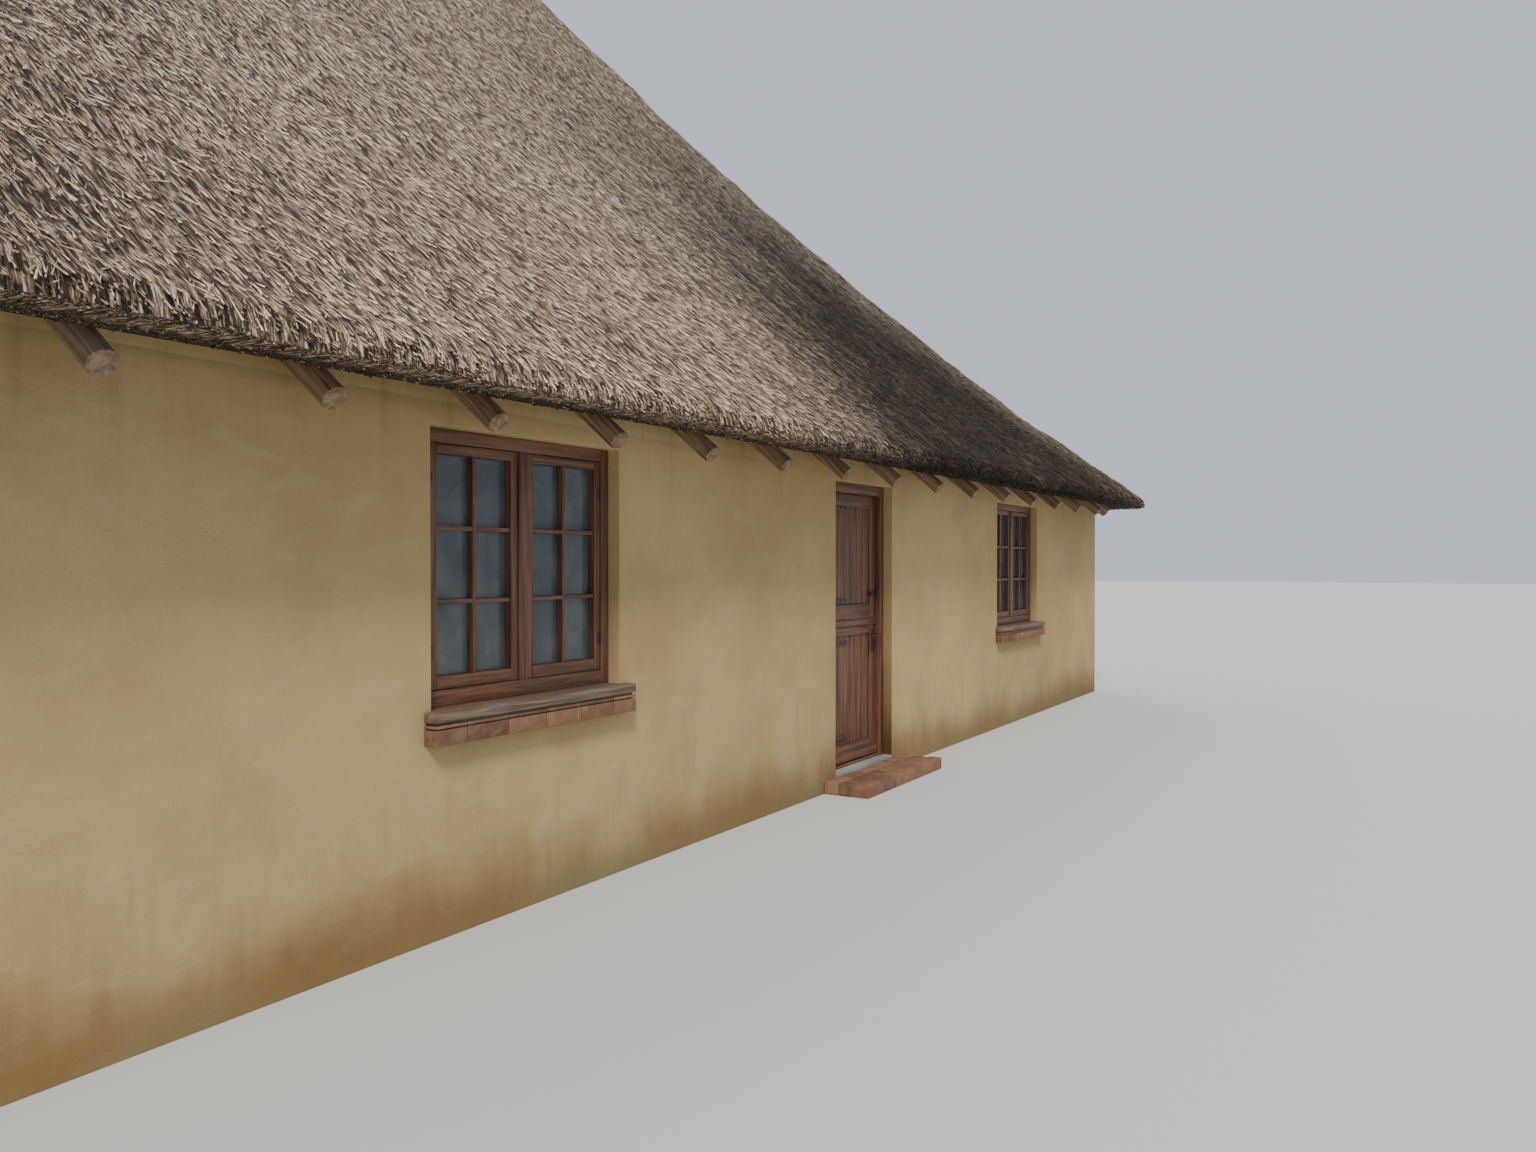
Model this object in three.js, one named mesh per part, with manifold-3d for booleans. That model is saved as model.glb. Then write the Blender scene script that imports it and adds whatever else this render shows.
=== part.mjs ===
// Thatched cottage: plastered brick walls, timber windows and door, and a hipped pole roof
// with a thick coat of thatch. Millimetres, +Z up. The origin is on the ground at the middle
// of the plan, +X runs along the ridge, and the front wall, with the door, faces -Y.

import * as THREE from 'three';
import { mergeVertices } from 'three/addons/utils/BufferGeometryUtils.js';
import Module from 'manifold-3d';

const wasm = await Module();
wasm.setup();

// Plan of the eaves and the walls.
const EAVE_LENGTH = 14000;
const EAVE_WIDTH = 11200;
const OVERHANG = 550;
const WALL_THICKNESS = 250;
const WALL_TOP = 2240;

// Roof surface: height above the eave is START_SLOPE * inset + SAG * inset squared, where
// inset is the level distance in from the eave line, so the slope steepens to the ridge.
// The slope runs down to a low lip, and the thatch is cut level beneath it.
const EAVE_LOW = 2200;
const THATCH_DROP = 320;
const EAVE_LIP = 100;
const START_SLOPE = 0.762;
const SAG = 0.0000469;
const OUTER_RADIUS = { eave: 500, ridge: 170 };
const INNER_RADIUS = { eave: 300, ridge: 100 };
const ROOF_KNOTS = [0, 300, 900, 1600, 2400, 3200, 4000, 4800, 5570];
const CORNER_STEPS = 5;
const SEAM = 0.3;

// Ridge capping of mortar.
const CAP_INSET = 5200;
const CAP_THICKNESS = 65;
const CAP_LIFT = 0.5;

// Roof timbers: round poles under square battens.
const RAFTER_RADIUS = 50;
const HIP_RADIUS = 65;
const RIDGE_POLE_RADIUS = 70;
const POLE_SIDES = 6;
const POLE_DEPTH = 30;
const RAFTER_SPACING = 800;
const FRONT_RAFTERS = 15;
const END_RAFTERS = 11;
const RAFTER_TAIL = 300;
const HIP_TAIL = 450;
const RAFTER_REACH = 900;
const BATTEN_WIDTH = 40;
const BATTEN_DEPTH = 46;
const BATTEN_INSETS = [420, 2000, 4400];
const BATTEN_CLEARANCE = 0.5;
const BATTEN_STOP = 60;
const PLATE_WIDTH = 114;
const PLATE_DEPTH = 130;
const PLATE_MARGIN = 10;
const FIT_CLEARANCE = 0.6;
const FILL_CLEARANCE = 0.8;

// Floor and door step.
const FLOOR_TOP = 100;
const STEP_LENGTH = 1300;
const STEP_WIDTH = 330;
const STEP_TOP = 85;

// Windows: a brick sill course, a timber sill on it, and a frame set back in the reveal.
const HEAD = 2110;
const REVEAL = 70;
const WINDOW_WIDTH = 1250;
const SILL_BED = 806;
const BRICK_SILL_DEPTH = 93;
const TIMBER_SILL_DEPTH = 44;
const SILL_PROJECTION = 70;
const SILL_HORN = 45;
const FRAME_DEPTH = 90;
const FRAME_FACE = 60;
const BOTTOM_RAIL = 70;
const MULLION_FACE = 56;
const MULLION_DEPTH = 45;
const GLASS_THICKNESS = 6;
const FRONT_WINDOW_X = 3500;

// Door.
const DOOR_WIDTH = 940;
const JAMB_FACE = 70;
const LEAF_THICKNESS = 44;
const LEAF_SETBACK = 40;
const LEAF_CLEARANCE = 0.5;

const halfLength = EAVE_LENGTH / 2;
const halfWidth = EAVE_WIDTH / 2;
const ridgeHalf = halfLength - halfWidth;
const wallX = halfLength - OVERHANG;
const wallY = halfWidth - OVERHANG;
const innerX = wallX - WALL_THICKNESS;
const innerY = wallY - WALL_THICKNESS;
const undersideLow = EAVE_LOW + EAVE_LIP - THATCH_DROP;
const farOut = 7000;

const finish = {
  plaster: { color: 0xcbb27c, roughness: 0.92 },
  thatch: { color: 0x978678, roughness: 0.95 },
  mortar: { color: 0x8f8a80, roughness: 0.9 },
  pole: { color: 0x7a5c40, roughness: 0.8 },
  sawn: { color: 0x8a6a48, roughness: 0.8 },
  stained: { color: 0x7a4326, roughness: 0.55 },
  brick: { color: 0x9c6040, roughness: 0.85 },
  concrete: { color: 0x9a968e, roughness: 0.85 },
  glass: { color: 0x9fb4bd, roughness: 0.05 },
};

const cottage = new THREE.Group();

function addMesh(name, look, geometry, place = {}) {
  const material = new THREE.MeshStandardMaterial({ ...finish[look], metalness: 0 });
  const mesh = new THREE.Mesh(geometry, material);
  mesh.name = name;
  mesh.position.set(place.x ?? 0, place.y ?? 0, 0);
  mesh.rotation.z = place.turn ?? 0;
  cottage.add(mesh);
}

// Solids: a closed geometry becomes a solid that can be joined and cut.
function solidOf(geometry) {
  geometry.deleteAttribute('normal');
  geometry.deleteAttribute('uv');
  const merged = mergeVertices(geometry, 1e-3);
  const mesh = new wasm.Mesh({
    numProp: 3,
    vertProperties: new Float32Array(merged.attributes.position.array),
    triVerts: new Uint32Array(merged.index.array),
  });
  return new wasm.Manifold(mesh);
}

function geometryOf(solid) {
  const mesh = solid.getMesh();
  const geometry = new THREE.BufferGeometry();
  geometry.setAttribute('position', new THREE.BufferAttribute(mesh.vertProperties, 3));
  geometry.setIndex(new THREE.BufferAttribute(mesh.triVerts, 1));
  return geometry;
}

function boxGeometry(low, high) {
  const size = low.map((value, axis) => high[axis] - value);
  const middle = low.map((value, axis) => (high[axis] + value) / 2);
  return new THREE.BoxGeometry(...size).translate(...middle);
}

function boxSolid(low, high) {
  return solidOf(boxGeometry(low, high));
}

function prismGeometry(outline, bottom, top) {
  const shape = new THREE.Shape(outline.map(([x, y]) => new THREE.Vector2(x, y)));
  const settings = { depth: top - bottom, bevelEnabled: false, steps: 1 };
  return new THREE.ExtrudeGeometry(shape, settings).translate(0, 0, bottom);
}

function prismSolid(outline, bottom, top) {
  return solidOf(prismGeometry(outline, bottom, top));
}

function joined(solids) {
  return solids.reduce((whole, piece) => whole.add(piece));
}

function cutBy(solid, cutters) {
  return cutters.reduce((left, cutter) => left.subtract(cutter), solid);
}

// Roof form. Between knots the rise is straight, so laths lie flat under the thatch.
function curvedRise(inset) {
  return START_SLOPE * inset + SAG * inset * inset;
}

function knotBefore(inset) {
  const last = ROOF_KNOTS.length - 2;
  const index = ROOF_KNOTS.findIndex((knot) => knot > inset) - 1;
  return index < 0 ? last : Math.min(index, last);
}

function slopeAt(inset) {
  const from = ROOF_KNOTS[knotBefore(inset)];
  const to = ROOF_KNOTS[knotBefore(inset) + 1];
  return (curvedRise(to) - curvedRise(from)) / (to - from);
}

function undersideAt(inset) {
  const from = ROOF_KNOTS[knotBefore(inset)];
  return undersideLow + curvedRise(from) + slopeAt(inset) * (inset - from);
}

function cornerRadius(radius, inset) {
  const share = Math.min(Math.max(inset / halfWidth, 0), 1);
  return Math.min(radius.eave + (radius.ridge - radius.eave) * share, halfWidth - inset);
}

// One level line of the roof: a rectangle with rounded corners, anticlockwise.
function levelLine(inset, radius) {
  const round = cornerRadius(radius, inset);
  const points = [];
  for (let corner = 0; corner < 4; corner += 1) {
    const sideX = corner === 0 || corner === 3 ? 1 : -1;
    const sideY = corner < 2 ? 1 : -1;
    const centreX = sideX * (halfLength - inset - round);
    const centreY = sideY * (halfWidth - inset - round);
    for (let step = 0; step <= CORNER_STEPS; step += 1) {
      const angle = (corner + step / CORNER_STEPS) * (Math.PI / 2);
      points.push([centreX + round * Math.cos(angle), centreY + round * Math.sin(angle)]);
    }
  }
  return points;
}

// A closed solid under a roof surface: stacked level lines, a flat top and a flat bottom.
function roofSolid(radius, eave, bottom) {
  const rings = [levelLine(0, radius).map(([x, y]) => [x, y, bottom])];
  for (const inset of ROOF_KNOTS) {
    const height = eave + curvedRise(inset);
    rings.push(levelLine(inset, radius).map(([x, y]) => [x, y, height]));
  }
  const count = rings[0].length;
  const positions = rings.flat(2);
  const index = [];
  for (let ring = 0; ring < rings.length - 1; ring += 1) {
    for (let step = 0; step < count; step += 1) {
      const a = ring * count + step;
      const b = ring * count + ((step + 1) % count);
      index.push(a, b, a + count, b, b + count, a + count);
    }
  }
  const topRing = (rings.length - 1) * count;
  const bottomCentre = rings.length * count;
  const topCentre = bottomCentre + 1;
  positions.push(0, 0, bottom, 0, 0, rings.at(-1)[0][2]);
  for (let step = 0; step < count; step += 1) {
    const next = (step + 1) % count;
    index.push(bottomCentre, next, step);
    index.push(topCentre, topRing + step, topRing + next);
  }
  const geometry = new THREE.BufferGeometry();
  geometry.setAttribute('position', new THREE.Float32BufferAttribute(positions, 3));
  geometry.setIndex(index);
  return solidOf(geometry);
}

// The inset of the underside's level line that passes over a plan point.
function insetOver(x, y) {
  let low = -OVERHANG;
  let high = halfWidth;
  for (let step = 0; step < 40; step += 1) {
    const middle = (low + high) / 2;
    const round = cornerRadius(INNER_RADIUS, middle);
    const pastX = Math.abs(x) - (halfLength - middle - round);
    const pastY = Math.abs(y) - (halfWidth - middle - round);
    const outside = pastX > 0 && pastY > 0
      ? Math.hypot(pastX, pastY) > round
      : Math.max(pastX, pastY) > round;
    if (outside) high = middle;
    else low = middle;
  }
  return low;
}

// Poles follow the underside of the thatch, one batten's bite below it.
function poleSolid(points, radius) {
  const corners = [];
  for (let side = 0; side < POLE_SIDES; side += 1) {
    const angle = (side / POLE_SIDES) * 2 * Math.PI;
    corners.push(new THREE.Vector2(radius * Math.cos(angle), radius * Math.sin(angle)));
  }
  const path = new THREE.CatmullRomCurve3(points);
  const settings = { steps: points.length, extrudePath: path, bevelEnabled: false };
  return solidOf(new THREE.ExtrudeGeometry(new THREE.Shape(corners), settings));
}

function poleHeight(x, y, radius, share) {
  const inset = Math.min(insetOver(x, y), ROOF_KNOTS.at(-1));
  const slope = slopeAt(inset) * share;
  return undersideAt(inset) - (POLE_DEPTH + radius) * Math.hypot(1, slope);
}

function insetsBetween(tail, end) {
  const count = Math.max(2, Math.ceil((end - tail) / RAFTER_REACH));
  return Array.from({ length: count + 1 }, (_, step) => tail + ((end - tail) * step) / count);
}

function frontRafter(x, side, extra) {
  const end = Math.min(halfWidth, halfLength - Math.abs(x));
  const points = insetsBetween(RAFTER_TAIL, end).map((inset) => {
    const y = side * (halfWidth - inset);
    return new THREE.Vector3(x, y, poleHeight(x, y, RAFTER_RADIUS, 1));
  });
  return poleSolid(points, RAFTER_RADIUS + extra);
}

function endRafter(y, side, extra) {
  const end = halfWidth - Math.abs(y);
  const points = insetsBetween(RAFTER_TAIL, end).map((inset) => {
    const x = side * (halfLength - inset);
    return new THREE.Vector3(x, y, poleHeight(x, y, RAFTER_RADIUS, 1));
  });
  return poleSolid(points, RAFTER_RADIUS + extra);
}

function hipPole(sideX, sideY, extra) {
  const points = insetsBetween(HIP_TAIL, halfWidth).map((inset) => {
    const x = sideX * (halfLength - inset);
    const y = sideY * (halfWidth - inset);
    return new THREE.Vector3(x, y, poleHeight(x, y, HIP_RADIUS, Math.SQRT1_2));
  });
  return poleSolid(points, HIP_RADIUS + extra);
}

function spacedPlaces(count) {
  return Array.from({ length: count }, (_, index) => (index - (count - 1) / 2) * RAFTER_SPACING);
}

function batten(inset, eaveHalf) {
  const length = 2 * (eaveHalf - inset - cornerRadius(INNER_RADIUS, inset) - BATTEN_STOP);
  const geometry = new THREE.BoxGeometry(length, BATTEN_WIDTH, BATTEN_DEPTH);
  geometry.translate(0, 0, -BATTEN_DEPTH / 2 - BATTEN_CLEARANCE);
  geometry.rotateX(Math.atan(slopeAt(inset)));
  return geometry;
}

function sideBatten(inset, side) {
  const geometry = batten(inset, halfLength);
  geometry.translate(0, -(halfWidth - inset), undersideAt(inset));
  return solidOf(geometry.rotateZ(side > 0 ? Math.PI : 0));
}

function endBatten(inset, side) {
  const geometry = batten(inset, halfWidth);
  geometry.translate(0, -(halfLength - inset), undersideAt(inset));
  return solidOf(geometry.rotateZ((side * Math.PI) / 2));
}

function ridgePole(extra) {
  const height = undersideAt(ROOF_KNOTS.at(-1)) - (RIDGE_POLE_RADIUS + POLE_DEPTH) * Math.SQRT2;
  const end = ridgeHalf + extra;
  const points = [-end, 0, end].map((x) => new THREE.Vector3(x, 0, height));
  return poleSolid(points, RIDGE_POLE_RADIUS + extra);
}

// Wall plates lie on the inner half of each wall.
function plateSolid(along, across, extra) {
  const inner = across - WALL_THICKNESS;
  const low = [-along - extra, -inner - PLATE_WIDTH - extra, WALL_TOP + SEAM - extra];
  const high = [along + extra, -inner - SEAM + extra, WALL_TOP + PLATE_DEPTH + extra];
  return boxSolid(low, high);
}

function turned(solid, degrees) {
  return solid.rotate([0, 0, degrees]);
}

const sides = {
  front: { turn: 0, along: wallX, across: wallY },
  right: { turn: 90, along: wallY, across: wallX },
  back: { turn: 180, along: wallX, across: wallY },
  left: { turn: -90, along: wallY, across: wallX },
};

function platesWith(extra) {
  return Object.values(sides).map(({ turn, along, across }) => (
    turned(plateSolid(along - WALL_THICKNESS, across, extra), turn)
  ));
}

function hipsWith(extra) {
  const corners = [[-1, -1], [1, -1], [1, 1], [-1, 1]];
  return corners.map(([sideX, sideY]) => hipPole(sideX, sideY, extra));
}

const looseHips = hipsWith(FIT_CLEARANCE);
const loosePlates = platesWith(FIT_CLEARANCE);
const looseRidge = ridgePole(FIT_CLEARANCE);

function addRoofTimbers() {
  for (const [name, side] of [['front', -1], ['back', 1]]) {
    const poles = spacedPlaces(FRONT_RAFTERS).map((x) => frontRafter(x, side, 0));
    const battens = BATTEN_INSETS.map((inset) => sideBatten(inset, side));
    const cutters = [...looseHips, looseRidge, ...loosePlates];
    const lattice = cutBy(joined([...poles, ...battens]), cutters);
    addMesh(`${name}_rafters`, 'pole', geometryOf(lattice));
  }
  for (const [name, side] of [['left', -1], ['right', 1]]) {
    const poles = spacedPlaces(END_RAFTERS).map((y) => endRafter(y, side, 0));
    const hips = [hipPole(side, -1, 0), hipPole(side, 1, 0)];
    const battens = BATTEN_INSETS.map((inset) => endBatten(inset, side));
    const lattice = cutBy(joined([...poles, ...hips, ...battens]), [looseRidge, ...loosePlates]);
    addMesh(`${name}_rafters`, 'pole', geometryOf(lattice));
  }
  addMesh('ridge_pole', 'pole', geometryOf(ridgePole(0)));
}

// Thatch: one coat, parted along the hips and the ridge.
function addThatch() {
  const coat = roofSolid(OUTER_RADIUS, EAVE_LOW + EAVE_LIP, EAVE_LOW)
    .subtract(roofSolid(INNER_RADIUS, undersideLow, 0));
  const ridgeGap = halfWidth - ROOF_KNOTS.at(-1);
  const foot = ridgeHalf + farOut;
  const head = ridgeHalf + ridgeGap;
  const slope = [
    [SEAM - foot, -farOut], [foot - SEAM, -farOut],
    [head - SEAM, -ridgeGap], [SEAM - head, -ridgeGap],
  ];
  const end = [[SEAM + ridgeHalf, 0], [SEAM + foot, -farOut], [SEAM + foot, farOut]];
  const slopeCut = prismSolid(slope, 0, farOut * 2);
  const endCut = prismSolid(end, 0, farOut * 2);
  addMesh('front_thatch', 'thatch', geometryOf(coat.intersect(slopeCut)));
  addMesh('back_thatch', 'thatch', geometryOf(coat.intersect(turned(slopeCut, 180))));
  addMesh('right_thatch', 'thatch', geometryOf(coat.intersect(endCut)));
  addMesh('left_thatch', 'thatch', geometryOf(coat.intersect(turned(endCut, 180))));
}

function addRidgeCap() {
  const footprint = prismSolid(levelLine(CAP_INSET, OUTER_RADIUS), EAVE_LOW, farOut * 2);
  const thatchEave = EAVE_LOW + EAVE_LIP;
  const cap = roofSolid(OUTER_RADIUS, thatchEave + CAP_THICKNESS, 0)
    .intersect(footprint)
    .subtract(roofSolid(OUTER_RADIUS, thatchEave + CAP_LIFT, 0));
  addMesh('ridge_cap', 'mortar', geometryOf(cap));
}

// Walls with their openings, the fill between the rafters, and the plates.
function openingSolid(centre, width, bottom, top, across) {
  const low = [centre - width / 2, -across - OVERHANG, bottom];
  const high = [centre + width / 2, -across + WALL_THICKNESS + OVERHANG, top];
  return boxSolid(low, high);
}

function windowOpening(centre, across) {
  return openingSolid(centre, WINDOW_WIDTH, SILL_BED, HEAD, across);
}

const openings = {
  front: [-FRONT_WINDOW_X, FRONT_WINDOW_X].map((x) => windowOpening(x, wallY)),
  back: [-FRONT_WINDOW_X, FRONT_WINDOW_X].map((x) => windowOpening(x, wallY)),
  left: [windowOpening(0, wallX)],
  right: [windowOpening(0, wallX)],
};
openings.front.push(openingSolid(0, DOOR_WIDTH, -FLOOR_TOP, HEAD, wallY));

function looseRafters(name) {
  if (name === 'left' || name === 'right') {
    const side = name === 'left' ? -1 : 1;
    return spacedPlaces(END_RAFTERS).map((y) => endRafter(y, side, FIT_CLEARANCE));
  }
  const side = name === 'front' ? -1 : 1;
  return spacedPlaces(FRONT_RAFTERS).map((x) => frontRafter(x, side, FIT_CLEARANCE));
}

function addWall(name, { turn, along, across }) {
  const butt = name === 'left' || name === 'right' ? WALL_THICKNESS + SEAM : 0;
  const half = along - butt;
  const slab = boxSolid([-half, -across, 0], [half, -across + WALL_THICKNESS, WALL_TOP]);
  const wall = turned(cutBy(slab, openings[name]), turn);
  addMesh(`${name}_wall`, 'plaster', geometryOf(cutBy(wall, looseHips)));
}

// The fill stands on the outer half of the wall and closes it to the thatch.
function addEaveFill(name, { turn, along, across }) {
  const half = along - WALL_THICKNESS;
  const depth = WALL_THICKNESS - PLATE_WIDTH - PLATE_MARGIN;
  const top = undersideAt(OVERHANG + WALL_THICKNESS);
  const block = boxSolid([-half, -across, WALL_TOP + SEAM], [half, -across + depth, top]);
  const underRoof = roofSolid(INNER_RADIUS, undersideLow - FILL_CLEARANCE, 0);
  const fill = turned(block, turn).intersect(underRoof);
  const cutters = [...looseRafters(name), ...looseHips];
  addMesh(`${name}_eave_fill`, 'plaster', geometryOf(cutBy(fill, cutters)));
}

function addPlate(name, { turn, along, across }) {
  const plate = turned(plateSolid(along - WALL_THICKNESS, across, 0), turn);
  addMesh(`${name}_wall_plate`, 'sawn', geometryOf(cutBy(plate, looseHips)));
}

function addFloor() {
  const x = innerX - SEAM;
  const y = innerY - SEAM;
  const door = DOOR_WIDTH / 2 - SEAM;
  const outline = [
    [-x, -y], [-door, -y], [-door, -wallY], [door, -wallY],
    [door, -y], [x, -y], [x, y], [-x, y],
  ];
  addMesh('floor_slab', 'concrete', prismGeometry(outline, 0, FLOOR_TOP));
  const stepLow = [-STEP_LENGTH / 2, -wallY - STEP_WIDTH, 0];
  const stepHigh = [STEP_LENGTH / 2, -wallY - SEAM, STEP_TOP];
  addMesh('door_step', 'brick', boxGeometry(stepLow, stepHigh));
}

// A sill is wider outside the wall face, where its ends run on as horns.
function sillOutline(projection, back) {
  const inside = WINDOW_WIDTH / 2 - SEAM;
  const outside = inside + SILL_HORN;
  return [
    [-outside, -projection], [outside, -projection], [outside, -SEAM], [inside, -SEAM],
    [inside, back], [-inside, back], [-inside, -SEAM], [-outside, -SEAM],
  ];
}

const frameSill = SILL_BED + SEAM + BRICK_SILL_DEPTH + SEAM;
const glazingLow = frameSill + TIMBER_SILL_DEPTH + BOTTOM_RAIL;
const glazingHigh = HEAD - SEAM - FRAME_FACE;
const glazingHalf = WINDOW_WIDTH / 2 - SEAM - FRAME_FACE;

function windowFrame() {
  const back = REVEAL + FRAME_DEPTH;
  const outer = WINDOW_WIDTH / 2 - SEAM;
  const sill = prismSolid(sillOutline(SILL_PROJECTION, back), frameSill, frameSill + TIMBER_SILL_DEPTH);
  const block = boxSolid([-outer, REVEAL, frameSill], [outer, back, HEAD - SEAM]);
  const light = boxSolid([-glazingHalf, 0, glazingLow], [glazingHalf, 2 * back, glazingHigh]);
  const mullionHalf = MULLION_FACE / 2;
  const mullionLow = [-mullionHalf, REVEAL, glazingLow - BOTTOM_RAIL / 2];
  const mullionHigh = [mullionHalf, REVEAL + MULLION_DEPTH, glazingHigh + FRAME_FACE / 2];
  return geometryOf(joined([block.subtract(light), sill, boxSolid(mullionLow, mullionHigh)]));
}

function windowGlass() {
  const face = REVEAL + MULLION_DEPTH + SEAM;
  const low = [-glazingHalf + SEAM, face, glazingLow + SEAM];
  const high = [glazingHalf - SEAM, face + GLASS_THICKNESS, glazingHigh - SEAM];
  return boxGeometry(low, high);
}

function brickSill() {
  return prismGeometry(sillOutline(SILL_PROJECTION, WALL_THICKNESS), SILL_BED + SEAM, frameSill - SEAM);
}

function addWindow(name, place) {
  addMesh(`${name}_frame`, 'stained', windowFrame(), place);
  addMesh(`${name}_glass`, 'glass', windowGlass(), place);
  addMesh(`${name}_sill`, 'brick', brickSill(), place);
}

function addWindows() {
  addWindow('front_left_window', { x: -FRONT_WINDOW_X, y: -wallY });
  addWindow('front_right_window', { x: FRONT_WINDOW_X, y: -wallY });
  addWindow('back_left_window', { x: -FRONT_WINDOW_X, y: wallY, turn: Math.PI });
  addWindow('back_right_window', { x: FRONT_WINDOW_X, y: wallY, turn: Math.PI });
  addWindow('left_window', { x: -wallX, y: 0, turn: -Math.PI / 2 });
  addWindow('right_window', { x: wallX, y: 0, turn: Math.PI / 2 });
}

function addDoor() {
  const outer = DOOR_WIDTH / 2 - SEAM;
  const inner = outer - JAMB_FACE;
  const bottom = FLOOR_TOP + SEAM;
  const top = HEAD - SEAM;
  const block = boxSolid([-outer, REVEAL, bottom], [outer, REVEAL + FRAME_DEPTH, top]);
  const way = boxSolid([-inner, 0, 0], [inner, WALL_THICKNESS, top - JAMB_FACE]);
  addMesh('door_frame', 'stained', geometryOf(block.subtract(way)), { y: -wallY });
  const face = REVEAL + LEAF_SETBACK;
  const low = [-inner + LEAF_CLEARANCE, face, bottom];
  const high = [inner - LEAF_CLEARANCE, face + LEAF_THICKNESS, top - JAMB_FACE - LEAF_CLEARANCE];
  addMesh('door_leaf', 'stained', boxGeometry(low, high), { y: -wallY });
}

addFloor();
for (const [name, side] of Object.entries(sides)) {
  addWall(name, side);
  addEaveFill(name, side);
  addPlate(name, side);
}
addRoofTimbers();
addThatch();
addRidgeCap();
addWindows();
addDoor();

export default cottage;
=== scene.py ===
"""Looks of the thatched cottage, in metres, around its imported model."""
import math

import bmesh
import bpy
import numpy as np
from mathutils import Matrix, Vector, noise


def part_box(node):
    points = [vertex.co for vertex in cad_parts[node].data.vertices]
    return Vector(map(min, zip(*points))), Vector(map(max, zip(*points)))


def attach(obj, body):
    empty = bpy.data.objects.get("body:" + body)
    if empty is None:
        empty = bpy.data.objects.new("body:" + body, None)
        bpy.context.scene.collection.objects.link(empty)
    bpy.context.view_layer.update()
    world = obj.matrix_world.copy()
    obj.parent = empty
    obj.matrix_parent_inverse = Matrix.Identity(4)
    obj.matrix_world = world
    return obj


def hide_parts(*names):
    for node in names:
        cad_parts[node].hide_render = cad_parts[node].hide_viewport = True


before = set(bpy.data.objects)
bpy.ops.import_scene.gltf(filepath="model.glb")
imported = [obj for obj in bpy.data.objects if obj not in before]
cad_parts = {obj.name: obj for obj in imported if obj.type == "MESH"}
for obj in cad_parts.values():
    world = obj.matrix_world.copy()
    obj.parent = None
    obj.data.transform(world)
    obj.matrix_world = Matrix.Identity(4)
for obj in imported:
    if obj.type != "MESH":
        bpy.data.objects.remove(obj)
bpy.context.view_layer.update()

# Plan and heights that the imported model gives.
HALF_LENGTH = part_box("right_thatch")[1].x
HALF_WIDTH = -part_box("front_thatch")[0].y
EAVE_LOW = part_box("front_thatch")[0].z
WALL_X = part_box("right_wall")[1].x
WALL_Y = -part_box("front_wall")[0].y
WALL_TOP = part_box("front_wall")[1].z
WALL_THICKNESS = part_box("front_wall")[1].y + WALL_Y
BUTT_Y = WALL_Y - WALL_THICKNESS

# Roof form: height above the eave's lip is START_SLOPE * inset + SAG * inset squared. The thatch is
# THATCH_DROP deep, measured upright. Corners are round on plan: radius at the eave, radius at the ridge.
START_SLOPE = 0.762
SAG = 0.0469
EAVE_LIP = 0.10
THATCH_DROP = 0.32
LINING_LOW = EAVE_LOW + EAVE_LIP - THATCH_DROP
OUTER_RADIUS = (0.5, 0.17)
INNER_RADIUS = (0.3, 0.1)
RIDGE_INSET = 5.57
CAP_INSET = 5.2
OUTERMOST = -0.2
SEARCH_STEPS = 26

# Thatch coat: how far its surface wanders, and over which widths that fades out.
WAVE_HEIGHT = 0.075
LUMP_HEIGHT = 0.045
STREAK_HEIGHT = 0.022
STREAK_STRETCH = 7.0
SURFACE_LEVEL = 0.6
HIP_FADE = 0.25
CAP_FADE = 0.3
CAP_LAP = 0.06
FADE_STEPS = 10
UNDER_INSET = 0.1

# The eave's edge, band by band: how far in each band lies, and how far below the lip. The last band is
# the underside, which follows the laths instead. It eases into the slope over EAVE_EASE, and its offset
# runs out over HIP_MEETING towards a hip, so that the undersides of two slopes meet. The edge at a
# corner is given as heights over its foot, then how far in it lies at each.
EAVE_PROFILE = ((0.070, 0.0), (0.030, 0.010), (0.008, 0.042), (0.002, 0.072), (0.020, 1.0))
CORNER_PROFILE = ((0.0, 0.06, 0.09, 0.10), (0.008, 0.010, 0.030, 0.070))
EAVE_EASE = 0.5
HIP_MEETING = 0.06

# Dark zones beside a hip, partly damp, mossy thatch and partly painted shade where the roof lies in shade
# and turns away from the light: its reach at the eave, how much less of it a metre further in, the width of
# its fade, and how strong it is. Each slope has one zone at its left end and one at its right.
SHADED = (8.3, 1.70, 3.0, 1.0)
SHADED_END = (3.4, 0.75, 2.6, 0.92)
DAMP_SHADE_FOOT = (1.3, 0.55, 1.8, 0.42)
DAMP_SHADE_CORNER = (2.4, 0.80, 2.4, 0.55)
DAMP_SHADE_ZONES = {
    "front": (DAMP_SHADE_FOOT, SHADED),
    "right": (SHADED_END, DAMP_SHADE_FOOT),
    "back": (DAMP_SHADE_FOOT, DAMP_SHADE_CORNER),
    "left": (DAMP_SHADE_CORNER, DAMP_SHADE_FOOT),
}
# The fade widens up the slope, and the damp and painted shade thin out above the inset where the thinning
# starts. The hip itself is left lighter, as drier reed and as painted light where the rounded hip turns to
# the light.
# Run-off streaks, of this width and length, push the zone's edge in and out.
DAMP_SHADE_SPREAD = 0.25
DAMP_SHADE_THIN_FROM = 1.6
DAMP_SHADE_THINNING = 0.07
HIP_DRY_AND_LIT = 0.30
HIP_DRY_AND_LIT_WIDTH = 2.6
RUN_OFF = (0.11, 1.6)
RUN_OFF_SEED = 3.0
RUN_OFF_SHARE = 0.22

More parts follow.
